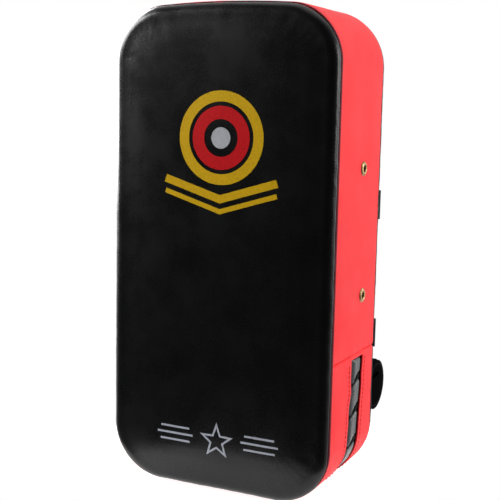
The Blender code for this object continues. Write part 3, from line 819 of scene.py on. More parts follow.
TUCK = 2.2 * MM       # how deep a seam allowance is turned in
TOP_BULGE = 0.6 * MM  # how far the gusset stands above its seams over the top of the pad
TOP_DROP = 1.0 * MM   # how far the striking cover stays below the gusset there
SEAM_STEP = 2.6 * MM  # between rows of the gussets away from their seams
SIDE_SHOULDER = 0.7   # how softly the sides dip to the striking cover's seam, in mm
BACK_SHOULDER = 0.15  # and to the back cover's seam
HEM = 1.1 * MM        # radius of the slot's rolled hem
HEM_WIDTH = 8 * MM
HEM_LIFT = 0.45 * MM
HEM_STITCHES = 5 * MM  # how far the thread runs from the slot's edge
LACE_PITCH = 27 * MM
LACE_RISE = 12 * MM   # from the front hem up to the rear one
LACE_TURNS = 14
LACE_STEPS = 16       # points in each turn
LACE_FIRST = SEAM_AT - 25 * MM - (LACE_TURNS - 1) * LACE_PITCH


def seam_groove(distance, shoulder=SIDE_SHOULDER):
    """How far the leather dips at a distance from a seam. The shoulder is the wider, softer dip."""
    t = np.asarray(distance, float) / MM
    return (1.5 * np.exp(-t / 0.7) + shoulder * np.exp(-t / 2.6)) * MM


def seam_steps(length):
    """Distances from a seam, close together beside it."""
    close = np.array([0.0, 0.15, 0.35, 0.65, 1.1, 1.7, 2.5, 3.6]) * MM
    count = max(2, int((length - 3.6 * MM) / SEAM_STEP))
    return np.concatenate([close, np.linspace(3.6 * MM, length, count + 1)[1:]])


def build_panel(name, side, roll, crown, slope, swell, seed, node_names):
    """A panel of the cover: side is -1 for the striking face and 1 for the back."""
    rim = side * HALF_DEPTH
    start = 1.1 * MM
    rest = (0.2 if side < 0 else 0.4) * MM
    tuck = [(TUCK, rim - side * 0.2 * MM), (1.3 * MM, rim + side * 0.1 * MM),
            (rest + 0.25 * MM, rim + side * 0.5 * MM)]
    edge = [(rest + inset, back) for inset, back in
            rolled(roll - rest, rim + side * start, side * (crown - start), slope)]
    profile = tuck + edge + inwards(roll, rim + side * crown)
    panel = panel_object(name, profile, BLACK, side > 0)
    if side < 0:
        for vertex in panel.data.vertices:
            vertex.co.z -= TOP_DROP * float(smoothstep(vertex.co.z, HEIGHT - 45 * MM, HEIGHT - 5 * MM))
    dress(panel, swell, seed)
    hand_over(panel, "black_leather", "pad", *node_names, fill=FILL)
    return panel


def strip(name, along, across, inset, material):
    """A strip of gusset over a grid: along the outline, and across at distances back."""
    rows = [in_depth(edge_points(along, deep), back) for back, deep in zip(across, inset)]
    return grid_object(name, np.array(rows), material)


HOLE_CLEARED = 3.4 * MM  # faces this near an eyelet's middle are taken out
HOLE_REACH = 7 * MM      # how far out the opened edge may lie
HOLE_RADIUS = 3.9 * MM


def open_eyelet_holes(gusset):
    """Open the leather under each eyelet, with the hole's edge drawn on to a circle."""
    bm = bmesh.new()
    bm.from_mesh(gusset.data)
    for place in EYELET_PLACES:
        for side in (-1, 1):
            centre = Vector((side * HALF_WIDTH, place.y, place.z))
            inner = [f for f in bm.faces if (f.calc_center_median() - centre).length < HOLE_CLEARED]
            bmesh.ops.delete(bm, geom=inner, context="FACES")
            for vertex in bm.verts:
                away = vertex.co - centre
                if vertex.is_boundary and away.length < HOLE_REACH:
                    away.x = 0
                    vertex.co.yz = centre.yz + away.yz.normalized() * HOLE_RADIUS
    bm.to_mesh(gusset.data)
    bm.free()


def build_upper_gusset(swell):
    """The long side band over the top, from cross seam to cross seam."""
    from_seam = seam_steps(HALF_DEPTH)
    across = np.concatenate([-HALF_DEPTH - 0.1 * MM + from_seam, (HALF_DEPTH + 0.1 * MM - from_seam)[-2::-1]])
    to_seam = np.concatenate([from_seam, from_seam[-2::-1]])
    ends = seam_steps(ROUND / 2 - SEAM_AT)
    along = np.concatenate([[0, 0], ends, (ROUND - 2 * SEAM_AT - ends)[-2::-1], [ROUND - 2 * SEAM_AT] * 2])
    end_distance = np.minimum(along, ROUND - 2 * SEAM_AT - along)
    wall = np.zeros(len(along))
    wall[[0, -1]] = 4.2 * MM
    wall[[1, -2]] = 1.8 * MM
    edge_height = edge_points(SEAM_AT + along, 0)[..., 1]
    crest = TOP_BULGE * smoothstep(edge_height, HEIGHT - 55 * MM, HEIGHT - 15 * MM)
    shoulders = [SIDE_SHOULDER if back < 0 else BACK_SHOULDER for back in across]
    insets = [
        np.maximum(seam_groove(t, shoulder), seam_groove(end_distance) + wall)
        - crest * (1 - math.exp(-t / (2.2 * MM))) for t, shoulder in zip(to_seam, shoulders)
    ]
    gusset = strip("side_cover_upper", SEAM_AT + along, across, insets, RED)
    open_eyelet_holes(gusset)
    dress(gusset, swell, 3)
    hand_over(gusset, "red_leather", "pad", "side_gusset_upper", "foam_core", fill=FILL)


def hem_profile(length, sign):
    """(distance back, inset) from a panel seam to the slot, round its hem and back underneath."""
    start = seam_steps(length - HEM)
    ridge = HEM_LIFT * smoothstep(start, length - HEM_WIDTH - 1.5 * MM, length - HEM_WIDTH)
    crease = 0.5 * MM * np.exp(-((start - (length - HEM_WIDTH)) / (0.7 * MM)) ** 2)
    shoulder = SIDE_SHOULDER if sign > 0 else BACK_SHOULDER
    places = list(zip(start, seam_groove(start, shoulder) - ridge + crease))
    for angle in np.pi * np.arange(1, 7) / 6:
        places.append((length - HEM + HEM * math.sin(angle), HEM * (1 - math.cos(angle)) - HEM_LIFT))
    places += [(length - 5 * MM, 2 * HEM - HEM_LIFT), (length - 9 * MM, 2 * HEM + 0.4 * MM)]
    return [(sign * t, inset) for t, inset in places]


def slot_drift(along):
    """How far the laced slot leans towards the striking face below the cross seam."""
    z = edge_points(along, 0)[..., 1]
    return -SLOT_LEAN * (1 - smoothstep(z, 40 * MM, SEAM_Z - 8 * MM))


def lace_pull(along, shift):
    """How much the lace draws a hem in where it passes under it, most of all at its two ends."""
    pull = 0 * along
    for turn in range(LACE_TURNS):
        place = LACE_FIRST + turn * LACE_PITCH + shift
        size = 2.6 * MM if turn in (0, LACE_TURNS - 1) else 0.8 * MM
        pull += size * np.exp(-((along - place) / (6.5 * MM)) ** 2)
    return pull


def slot_edges(along):
    """Distances back of the slot's front and rear edges."""
    drift = slot_drift(along)
    front = SLOT_FRONT - MIDDLE_Y - 0.5 * MM + drift + lace_pull(along, -LACE_RISE / 2)
    rear = SLOT_REAR - MIDDLE_Y + 1.2 * MM + drift - 0.4 * lace_pull(along, LACE_RISE / 2)
    return front, rear


def build_lower_gusset(name, node, front, swell, seed):
    """One of the two side bands below the cross seam, hemmed along the laced slot."""
    sign = 1 if front else -1
    seam_back = -sign * (HALF_DEPTH + 0.1 * MM)
    ends = seam_steps(SEAM_AT)
    along = np.concatenate([-SEAM_AT + ends, (SEAM_AT - ends)[-2::-1]])
    edge = slot_edges(along)[0 if front else 1]
    length = abs(float(edge.mean()) - seam_back)
    shift = edge - (seam_back + sign * length)
    places = hem_profile(length, sign)
    if not front:
        places = places[::-1]
    across = [seam_back + t + shift * min(abs(t) / length, 1) ** 2 for t, _ in places]
    dip = seam_groove(np.minimum(SEAM_AT + along, SEAM_AT - along))
    insets = [np.maximum(dip, inset) if inset < 0.8 * MM else inset + dip for _, inset in places]
    band = strip(name, along, across, insets, RED)
    slot_edge = SLOT_FRONT if front else SLOT_REAR

    def keep(points):
        return 0.15 + 0.85 * smoothstep(np.abs(points[:, 1] - slot_edge), 4 * MM, 16 * MM)

    dress(band, swell, seed, keep)
    hand_over(band, "red_leather", "pad", node, fill=FILL)


def build_seam_shade():
    """A dark red cord along the striking cover's seam: painted shade for the shadow in the seam's groove."""
    along = np.arange(0, ROUND, 2.5 * MM)
    line = in_depth(edge_points(along, 0.5 * MM), -HALF_DEPTH + 1.9 * MM)
    seam_shade_cord = tube("front_seam_shade_cord", line, 0.6 * MM, 10, SEAM_SHADE_RED, flat=3.0, up=(0, 1, 0), closed=True)
    hand_over(seam_shade_cord, "red_leather", "pad")


def build_slot_ends():
    """A folded flap under each end of the slot, a little below the cross seam."""
    for hand, side in (("right", 1), ("left", -1)):
        front, rear = (float(edge[0]) for edge in slot_edges(np.array([side * (SEAM_AT - 3.5 * MM)])))
        across = np.linspace(front - 4 * MM, rear + 4 * MM, 24)
        drop = [(2.0, 3.6), (-2.1, 2.5), (-2.8, 2.15), (-3.4, 1.75), (-3.75, 1.1), (-3.7, 0.5), (-3.3, 0.1),
                (-2.7, -0.05), (-1.8, 0.2), (-0.9, 0.5), (-0.3, 0.9), (0.4, 1.9), (2.5, 2.2)]
        rows = []
        for lift, inset in drop:
            along = side * (SEAM_AT + lift * MM)
            points = edge_points(np.full(len(across), along), max(inset + 0.1, 0.1) * MM)
            rows.append(in_depth(points, across))
        flap = grid_object("slot_end_flap_" + hand, np.array(rows), RED, flip=side > 0)
        hand_over(flap, "red_leather", "pad")


def build_hem_stitches():
    """Thread along both hems of the slot."""
    along = np.arange(-SEAM_AT + 3 * MM, SEAM_AT - 3 * MM, 1.5 * MM)
    front, rear = slot_edges(along)
    things = []
    for back in (front - HEM_STITCHES, rear + HEM_STITCHES):
        line = in_depth(edge_points(along, -HEM_LIFT + 0.25 * MM), back)
        inner = in_depth(edge_points(along, 1 * MM), back)
        things.append(stitches("hem_thread", line, line - inner, RED_THREAD))
    hand_over(join_objects(things, "slot_hem_stitching"), "red_leather", "pad")


def lace_point(turn):
    """(distance along, share across the slot, inset) on the lace: over the slot, then back underneath."""
    phase = turn % 1.0
    share = 0.5 - 0.47 * math.cos(2 * math.pi * phase)
    if phase < 0.5:
        step = LACE_RISE * 2 * (phase - 0.25)
    else:
        step = LACE_RISE / 2 + (LACE_PITCH - LACE_RISE) * 2 * (phase - 0.5)
    inset = (3.2 - 1.3 * math.sin(2 * math.pi * phase)) * MM
    return LACE_FIRST + math.floor(turn) * LACE_PITCH + step, share, inset


def build_tongue():
    """The glossy tongue behind the slot, pressed down wherever the lace crosses it."""
    end = SEAM_AT + 9 * MM
    along = np.arange(-end, end + 0.1 * MM, 1.0 * MM)
    front, rear = slot_edges(along)
    rows = []
    for share in np.linspace(-0.28, 1.28, 44):
        back = front + (rear - front) * share
        crossing = LACE_FIRST + LACE_RISE * (share - 0.5)
        gap = np.abs((along - crossing + LACE_PITCH / 2) % LACE_PITCH - LACE_PITCH / 2)
        crease = (1 - smoothstep(gap, 1.8 * MM, 5.0 * MM)) * float(smoothstep(share, 0.34, 0.62))
        full = smoothstep(SEAM_AT - np.abs(along), 3.0 * MM, 6.5 * MM)
        middle_share = float(smoothstep(share, 0.12, 0.45) * (1 - smoothstep(share, 0.84, 1.0))) * full
        ripples = np.stack([along * 12, 0 * along + share * 6.4, 0 * along], -1)
        ripple = wave_noise(ripples, 1.0, 5) * 0.5 + wave_noise(ripples * 2.1, 1.0, 6) * 0.3
        inset = (4.6 - 0.8 * full - 2.9 * middle_share + 2.7 * crease * full
                 + ripple * (0.15 + 0.65 * middle_share)) * MM
        under_hem = 2.0 * MM if abs(share - 0.5) > 0.5 else 0.2 * MM
        rows.append(in_depth(edge_points(along, np.maximum(inset, under_hem)), back))
    tongue = grid_object("slot_tongue", np.array(rows), GLOSSY)
    hand_over(tongue, "gloss_black", "pad", "lacing_tongue")


def build_lace():
    """The cord wound round the slot, which stops at its last crossing."""
    line = []
    for i in range(LACE_TURNS * LACE_STEPS - LACE_STEPS // 2):
        along, share, inset = lace_point(i / LACE_STEPS)
        front, rear = slot_edges(np.array([along]))
        back = front + (rear - front) * share
        line.append(in_depth(edge_points(np.array([along]), inset), back)[0])
    cord = tube("slot_lace", np.array(line), 1.3 * MM, 12, LACE)
    hand_over(cord, "black_cord", "pad", "lace")


def build_cover(swell):
    """Every piece of the pad's cover. The striking cover is handed back for its prints."""
    front = build_panel("striking_cover", -1, FRONT_ROLL, FRONT_CROWN, FRONT_SLOPE, swell, 1,
                        ("front_panel", "foam_strike_layer"))
    build_panel("back_cover", 1, BACK_ROLL, BACK_CROWN, 0.0, swell, 2, ("back_panel", "foam_back_layer"))
    build_upper_gusset(swell)
    build_lower_gusset("side_cover_front", "side_gusset_lower_front", True, swell, 4)
    build_lower_gusset("side_cover_rear", "side_gusset_lower_rear", False, swell, 5)
    build_seam_shade()
    build_slot_ends()
    build_hem_stitches()
    build_tongue()
    build_lace()
    return front


# ---------------------------------------------------------------- vent eyelets

VENT_SHADE_PROFILE = [(3.0, -3.3), (3.0, -2.3), (1.6, -2.6)]  # (radius, distance out) in mm
EYELET_PROFILE = [
    (2.9, -3.2), (2.9, 0.1), (3.05, 0.75), (3.45, 1.15), (4.1, 1.3), (4.8, 1.15), (5.4, 0.75),
    (5.9, 0.2), (6.0, -0.1), (5.8, -0.3), (3.5, -0.35), (3.5, -2.2), (6.2, -2.25), (6.2, -2.8),
    (3.4, -2.9), (3.4, -3.2),
]


def build_eyelets():
    """Brass grommets set in the sides, each with a dark disc down its bore as painted shade."""
    for level in ("upper", "lower"):
        for hand, side in (("right", 1), ("left", -1)):
            place = middle(f"vent_eyelet_{hand}_{level}")
            wall = (side * HALF_WIDTH, place.y, place.z)
            profile = [(r * MM, (d + 0.15) * MM) for r, d in EYELET_PROFILE]
            grommet = turned(f"eyelet_{hand}_{level}", profile + profile[:1], 48, wall, (side, 0, 0),
                             BRASS, caps=False)
            weld(grommet)
            hand_over(grommet, "antique_brass", "pad", f"vent_eyelet_{hand}_{level}",
                      f"eyelet_washer_{hand}_{level}")
            # The dark disc down the bore is painted shade.
            profile = [(r * MM, d * MM) for r, d in VENT_SHADE_PROFILE]
            shade_disc = turned(f"eyelet_shade_disc_{hand}_{level}", profile, 24, wall, (side, 0, 0), VENT_SHADE)
            hand_over(shade_disc, "black_webbing", "pad")


# ---------------------------------------------------------------- prints on the striking face

PRINT_FILM = 0.12 * MM
PRINT_STEP = 2.5 * MM
RING_SIDES = 120
TARGET = (3.4 * MM, 294 * MM)
STAR = (4.1 * MM, 44.2 * MM)
STAR_POINT, STAR_NOTCH, STAR_LINE = 13.7 * MM, 5.6 * MM, 1.6 * MM
CHEVRONS = ((253.0, 50.0, 6.5), (243.0, 50.0, 4.0))        # (height, reach, width) in mm
CHEVRON_RISE, CHEVRON_DIP = 7.0, -8.0
BAR_GROUPS = ((-35.1, 0.0), (43.1, 1.6))                   # (middle, rise) in mm
BARS = ((50.9, 13.5), (45.3, 16.8), (39.5, 14.0))          # (height, half length) in mm
BAR_WIDTH = 1.7 * MM
TARGET_RINGS = (  # (name, inner and outer radius in mm, steps between them, print)
    ("outer", 28.8, 37.5, 5, YELLOW_PRINT),
    ("middle", 15.0, 25.5, 6, RED_PRINT),
    ("centre", 0.02, 8.5, 6, WHITE_PRINT),
)


def on_surface(tree, points, lift):
    """Points (x, z) cast on to the striking face, standing a little off it."""
    placed = []
    for x, z in points:
        hit = tree.ray_cast(Vector((x, -1.0, z)), Vector((0, 1, 0)))[0]
        placed.append((x, hit.y - lift, z))
    return placed


def decal(name, tree, rows, material, around=False):
    """A thin printed film over a grid of points (x, z), closed down into the leather at its rim."""
    rows = np.asarray(rows, float)
    shape = rows.shape[:2]
    top = np.array(on_surface(tree, rows.reshape(-1, 2), PRINT_FILM)).reshape(*shape, 3)
    sunk = top + np.array([0, 3 * PRINT_FILM, 0])
    sheet = np.concatenate([sunk[:1], top, sunk[-1:]])
    if not around:
        left, right = sheet[:, :1].copy(), sheet[:, -1:].copy()
        left[..., 1] = left[..., 1].max()
        right[..., 1] = right[..., 1].max()
        sheet = np.concatenate([left, sheet, right], 1)
    return grid_object(name, sheet, material, around=around)


def ring_rows(centre, inner, outer, steps):
    """Rows round a flat ring, from its outer edge inwards."""
    angles = np.linspace(0, 2 * np.pi, RING_SIDES, endpoint=False)
    radii = np.linspace(outer, inner, steps)
    return [[(centre[0] + r * math.cos(a), centre[1] + r * math.sin(a)) for a in angles] for r in radii]


def band_rows(line, width, closed=False):
    """Rows across a band that follows a line of corners, mitred where it turns."""
    line = [np.asarray(p, float) for p in line]
    count = len(line)
    corners = []
    for i, point in enumerate(line):
        before = line[i - 1] if closed or i else 2 * point - line[1]
        after = line[(i + 1) % count] if closed or i < count - 1 else 2 * point - line[-2]
        a, b = point - before, after - point
        a, b = a / np.linalg.norm(a), b / np.linalg.norm(b)
        na, nb = np.array([-a[1], a[0]]), np.array([-b[1], b[0]])
        mitre = (na + nb) / (1 + na @ nb)
        corners.append((point - mitre * width / 2, point + mitre * width / 2))
    if closed:
        corners.append(corners[0])
    left, right = [], []
    for (a0, b0), (a1, b1) in zip(corners, corners[1:]):
        steps = max(1, int(np.linalg.norm(a1 - a0) / PRINT_STEP))
        for i in range(steps):
            left.append(a0 + (a1 - a0) * i / steps)
            right.append(b0 + (b1 - b0) * i / steps)
    if not closed:
        left.append(corners[-1][0])
        right.append(corners[-1][1])
    return [left, right]


def print_piece(name, things):
    thing = join_objects(things, name) if len(things) > 1 else things[0]
    thing.name = name
    hand_over(thing, "black_leather", "pad")


def build_prints(front):
    """Plain ornaments: a round target with two chevrons under it, and a star between bars."""
    mesh = front.data
    tree = BVHTree.FromPolygons([v.co for v in mesh.vertices], [tuple(p.vertices) for p in mesh.polygons])
    for place, inner, outer, steps, material in TARGET_RINGS:
        rows = ring_rows(TARGET, inner * MM, outer * MM, steps)
        print_piece("print_target_" + place, [decal("ring", tree, rows, material, around=True)])

    chevrons = []
    for top, reach, width in CHEVRONS:
        line = [(TARGET[0] + side * reach * MM, (top + rise) * MM)
                for side, rise in ((-1, CHEVRON_RISE), (0, CHEVRON_DIP), (1, CHEVRON_RISE))]
        chevrons.append(decal("chevron", tree, band_rows(line, width * MM), YELLOW_PRINT))
    print_piece("print_chevrons", chevrons)

    star = []
    for i in range(10):
        reach = STAR_POINT if i % 2 == 0 else STAR_NOTCH
        angle = math.pi / 2 + math.pi * i / 5
        star.append((STAR[0] + reach * math.cos(angle), STAR[1] + reach * math.sin(angle)))
    rows = [row + row[:1] for row in band_rows(star, STAR_LINE, closed=True)]
    print_piece("print_star", [decal("star", tree, rows, SILVER_PRINT)])

    bars = []
    for middle_x, rise in BAR_GROUPS:
        for height, half in BARS:
            line = [((middle_x + end * half) * MM, (height + rise) * MM) for end in (-1, 1)]
            bars.append(decal("bar", tree, band_rows(line, BAR_WIDTH), SILVER_PRINT))
    print_piece("print_bars", bars)


# ---------------------------------------------------------------- webbing

TURN_STEPS = 14      # points round each half turn of a webbing fold


def webbing_section(width, thickness):
    """A flat woven band's cross-section as (across, through) points, with full edges."""
    half, t = width / 2, thickness / 2
    inner = np.linspace(-half + 2.2 * t, half - 2.2 * t, max(3, int(width / (3.5 * MM))))
    top = [(-half, 0), (-half + 0.45 * t, 0.8 * t), (-half + 1.1 * t, t)]
    top += [(a, 0.94 * t) for a in inner] + [(half - 1.1 * t, t), (half - 0.45 * t, 0.8 * t), (half, 0)]
    return np.array(top + [(a, -v) for a, v in top[-2:0:-1]])


def ribbon(name, path, height, width, thickness, material, wave=0.25 * MM, seed=1, spacing=1.6 * MM):
    """An upright band along a path of (x, y) points, at a height."""
    line = evenly_spaced(path, spacing)
    run = np.gradient(line, axis=0)
    run /= np.linalg.norm(run, axis=1)[:, None]
    out = np.stack([-run[:, 1], run[:, 0]], 1)
    along = lengths_along(line)
    section = webbing_section(width, thickness)
    drift = wave * wave_noise(np.stack([along, 0 * along, 0 * along + seed], 1), 30.0, seed)
    rows = np.empty((len(line), len(section), 3))
    rows[..., :2] = line[:, None] + out[:, None] * section[None, :, 1:2]
    rows[..., 2] = height + section[None, :, 0] + drift[:, None]
    uv = np.stack(np.broadcast_arrays(along[:, None], section[None, :, 0]), -1)
    return grid_object(name, rows, material, around=True, caps=True, uv=uv)


def half_turn(centre, radius, start, sweep=math.pi):
    """Points (x, y) round half a circle."""
    angles = start + sweep * np.arange(TURN_STEPS + 1) / TURN_STEPS
    return [(centre[0] + radius * math.cos(a), centre[1] + radius * math.sin(a)) for a in angles]


def bezier(a, b, c, d, steps=40):
    """Points along a cubic curve from a to d, pulled towards b and c."""
    t = np.linspace(0, 1, steps + 1)[:, None]
    a, b, c, d = (np.asarray(p, float) for p in (a, b, c, d))
    return list((1 - t) ** 3 * a + 3 * t * (1 - t) ** 2 * b + 3 * t * t * (1 - t) * c + t ** 3 * d)


def stitch_rectangle(name, x_range, z_range, y, material, cross=False):
    """Stitches round a rectangle on the pad's back, and across it from corner to corner."""
    (x0, x1), (z0, z1) = x_range, z_range
    corners = [(x0, y, z0), (x1, y, z0), (x1, y, z1), (x0, y, z1), (x0, y, z0)]
    runs = list(zip(corners, corners[1:]))
    if cross:
        runs += [(corners[0], corners[2]), (corners[1], corners[3])]
    return [stitches(name, evenly_spaced(run, 1 * MM), (0, 1, 0), material) for run in runs]


# ---------------------------------------------------------------- grip

GRIP_SIDES = 72
SLIT_HALF_WIDTH = 1.3 * MM    # of the opening that the webbing leaves the grip by
SLIT_HALF_HEIGHT = 12.9 * MM
GRIP_SEAM = math.radians(35)  # where the cover's seam runs, up from straight back
END_RIM = 6.5 * MM            # how far in from the grip's surface its flat end starts
END_SHAPE = (                 # (inset from the grip's end, drop from its surface) in mm
    (3.3, 0.25), (2.4, 1.1), (1.7, 1.5), (1.2, 1.35), (0.5, 1.0), (0.0, 2.4), (0.25, 4.2), (0.1, 6.5),
)
END_DISH = ((0.35, -0.25), (0.7, -0.45), (0.93, -0.3), (1.0, 0.4))  # (share to the slit, inset in mm)


def build_grip():
    """The grip's stitched cover, gathered at its ends round the webbing."""
    low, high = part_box("grip_sleeve")
    centre = (low + high) / 2
    radius = (high.z - low.z) / 2
    half = high.x
    angles = 2 * np.pi * np.arange(GRIP_SIDES) / GRIP_SIDES
    circle = np.stack([np.cos(angles), np.sin(angles)], -1)
    slit = np.stack([SLIT_HALF_WIDTH * np.cos(angles), SLIT_HALF_HEIGHT * np.sin(angles)], -1)
    away = np.abs((angles - GRIP_SEAM + np.pi) % (2 * np.pi) - np.pi)
    groove = 0.9 * MM * np.exp(-((away * radius / (1.2 * MM)) ** 2))
    groove -= 0.45 * MM * np.exp(-(((away * radius - 3.5 * MM) / (2.0 * MM)) ** 2))

    body = []
    for x in np.linspace(-half + 4.5 * MM, half - 4.5 * MM, 70):
        place = np.stack([0 * angles + x, circle[:, 0] * radius, circle[:, 1] * radius], -1)
        dents = 0.45 * MM * wave_noise(place * [1.0, 1.4, 1.4], 45.0, 8)
        dents += 0.22 * MM * wave_noise(place * [1.6, 0.5, 0.5], 130.0, 9)
        near_end = smoothstep(half - abs(x), 4 * MM, 16 * MM)
        gather = 0.35 * MM * wave_noise(place * [0.2, 1, 1], 190.0, 10) * (1 - near_end)
        r = radius - 0.3 * MM - groove + dents * (0.4 + 0.6 * near_end) + gather
        body.append(np.stack([0 * angles + x, circle[:, 0] * r, circle[:, 1] * r], -1))

    def end(side):
        rows = []
        for inset, drop in END_SHAPE:
            r = radius - drop * MM
            rows.append(np.stack([0 * angles + side * (half - inset * MM), circle[:, 0] * r,
                                  circle[:, 1] * r], -1))
        rim = circle * (radius - END_RIM)
        for share, inset in END_DISH:
            flat = rim * (1 - share) + slit * share
            rows.append(np.column_stack([0 * angles + side * (half - inset * MM), flat]))
        rows.append(np.column_stack([0 * angles + side * (half - 5 * MM), slit * 0.96]))
        return rows

    rows = np.array(end(-1)[::-1] + body + end(1)) + np.array(centre)
    grip = grid_object("grip_cover", rows, GRIP_BLACK, around=True)
    hand_over(grip, "black_leather", "grip", "grip_sleeve", "grip_foam", fill=FILL)

    direction = np.array([0, math.cos(GRIP_SEAM), math.sin(GRIP_SEAM)])
    across = np.array([0, -math.sin(GRIP_SEAM), math.cos(GRIP_SEAM)])
    ends = np.linspace(-half + 7 * MM, half - 7 * MM, 60)
    threads = []
    for side in (-1, 1):
        line = np.array([[x, 0, 0] for x in ends]) + np.array(centre)
        line = line + direction * (radius - 0.1 * MM) + across * side * 3.5 * MM
        threads.append(stitches("grip_thread", line, direction, BLACK_THREAD))
    for side in (-1, 1):
        turn = np.linspace(0, 2 * np.pi, 97)
        r = radius - 4.6 * MM
        line = np.stack([0 * turn + side * (half - 0.1 * MM), r * np.cos(turn), r * np.sin(turn)], -1)
        threads.append(stitches("grip_thread", line + np.array(centre), (side, 0, 0), BLACK_THREAD))
    hand_over(join_objects(threads, "grip_stitching"), "black_leather", "grip")
    return centre, half


def build_grip_webbing(centre, half):
    """One webbing strap: sewn under both anchors and led straight through the grip."""
    low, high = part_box("grip_webbing")
    foot_x = high.x - 1.2 * MM
    lying = BACK_FACE + 1.5 * MM
    foot = (foot_x, BACK_FACE + 6 * MM)
    leave = (half + 0.5 * MM, centre.y)
    leg = [(76 * MM, lying), (foot_x - 6 * MM, lying)]
    leg += bezier(leg[-1], (foot_x - 0.5 * MM, lying), (foot_x, lying + 1.5 * MM), foot, 10)[1:]
    leg += bezier(foot, (foot_x + 0.8 * MM, foot[1] + 12 * MM), (foot_x + 0.8 * MM, centre.y), leave, 24)[1:]
    path = leg + [(-x, y) for x, y in leg[::-1]]
    strap = ribbon("grip_strap", path, centre.z, high.z - low.z, 2 * MM, GRIP_WEBBING, wave=0.15 * MM,
                   spacing=1.2 * MM)
    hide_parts("grip_webbing")
    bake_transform(strap)


ANCHOR_STITCHES = 2.6 * MM  # how far the thread runs from a patch's edge
RIVET_DOME = ((4.2, -0.9), (4.3, -0.2), (4.1, 0.25), (3.4, 0.75), (2.3, 1.1), (1.1, 1.27), (0.25, 1.3))


def build_anchor(hand, centre_z):
    """A leather patch over the webbing's end, domed where the webbing runs under it."""
    low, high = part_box("grip_anchor_" + hand)

    def over_webbing(z):
        return float(near_line(abs(z - centre_z), 11.5 * MM, 15 * MM))

    rows = []
    for u in np.linspace(0, 1, 25):
        row = []
        for v in np.linspace(0, 1, 43):
            x = low.x + (high.x - low.x) * u
            z = low.z + (high.z - low.z) * v
            rim = min(u, 1 - u) * (high.x - low.x), min(v, 1 - v) * (high.z - low.z)
            edge = smoothstep(min(rim), 0, 0.9 * MM)
            over = over_webbing(z)
            crease = 0.25 * MM * math.exp(-((min(rim) - ANCHOR_STITCHES) / (0.7 * MM)) ** 2)
            rise = 0.4 * MM + 1.3 * MM * edge ** 0.6 + 1.9 * MM * over * float(edge) - crease
            row.append((x, BACK_FACE + rise, z))
        rows.append(row)
    rows = np.array(rows)
    sheet = np.concatenate([rows[:1], rows, rows[-1:]])
    sheet = np.concatenate([sheet[:, :1], sheet, sheet[:, -1:]], 1)
    for edge in (sheet[0], sheet[-1], sheet[:, 0], sheet[:, -1]):
        edge[:, 1] = BACK_FACE + 0.1 * MM
    patch = grid_object("anchor_patch_" + hand, sheet, BLACK)
    hand_over(patch, "black_leather", "pad", "grip_anchor_" + hand)

    threads = []
    x0, x1 = low.x + ANCHOR_STITCHES, high.x - ANCHOR_STITCHES
    z0, z1 = low.z + ANCHOR_STITCHES, high.z - ANCHOR_STITCHES
    corners = [(x0, z0), (x1, z0), (x1, z1), (x0, z1), (x0, z0)]
    for a, b in zip(corners, corners[1:]):
        line = evenly_spaced((a, b), 1 * MM)
        line = [(x, BACK_FACE + (1.6 * MM + 1.9 * MM * over_webbing(z)), z) for x, z in line]
        threads.append(stitches("anchor_thread", line, (0, 1, 0), BLACK_THREAD))
    hand_over(join_objects(threads, "anchor_stitching_" + hand), "black_leather", "pad")

    for level in ("upper", "lower"):
        node = f"grip_rivet_{hand}_{level}"
        place = middle(node)
        rivet = turned("rivet_" + hand + "_" + level, [(r * MM, d * MM) for r, d in RIVET_DOME], 36,
                       (place.x, BACK_FACE + 3.0 * MM, place.z), (0, 1, 0), NICKEL)
        hand_over(rivet, "nickel_steel", "pad", node)


# ---------------------------------------------------------------- forearm straps

STRAP_THICKNESS = 2 * MM
TAB_THICKNESS = 1.4 * MM
TAPE = 0.9 * MM        # thickness of the hook tape
LOOP_PILE = 0.3 * MM   # how much thicker the loop tape is
WIRE = 1.75 * MM       # radius
RING_CORNER = 3 * MM
RING_PLAY = 2 * MM
BEND_RUN = 1 * MM
TAIL_LENGTH = 78 * MM
TAIL_MERGE = 22 * MM


def beside(marks, line, distance, offset):
    """Point (x, y) at a distance along a line, set off to its right."""
    point = at_length(line, marks, distance)
    i = min(max(int(np.searchsorted(marks, distance)), 1), len(marks) - 1)
    run = line[i] - line[i - 1]
    run /= np.linalg.norm(run)
    return point + offset * np.array([run[1], -run[0]])


def build_tab(level, tab_bar, height, width):
    """Webbing folded round the ring's lower bar and sewn flat on the back panel."""
    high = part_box(level + "_ring_tab")[1]
    thick = TAB_THICKNESS
    turn = WIRE + CLEAR + thick / 2
    inner = BACK_FACE + CLEAR + thick / 2
    outer = inner + thick + 0.1 * MM
    path = [(high.x, inner), (tab_bar[0] + 2 * MM, inner)]
    path += half_turn(tab_bar, turn, -math.pi / 2, -math.pi)
    path += bezier(path[-1], (tab_bar[0] + 2.5 * MM, path[-1][1]), (tab_bar[0] + 4 * MM, outer),
                   (tab_bar[0] + 7 * MM, outer), 8)[1:]
    path += [(high.x, outer)]
    tab = ribbon(level + "_tab", path, height, width, thick, WEBBING, wave=0.1 * MM, seed=4, spacing=0.8 * MM)
    hand_over(tab, "black_webbing", "pad", level + "_ring_tab")
    top = outer + thick / 2
    rows = stitch_rectangle("tab_thread", (tab_bar[0] + 7.2 * MM, high.x - 1.3 * MM),
                            (height - width / 2 + 2 * MM, height + width / 2 - 2 * MM), top, BLACK_THREAD)
    hand_over(join_objects(rows, level + "_tab_stitching"), "black_webbing", "pad")


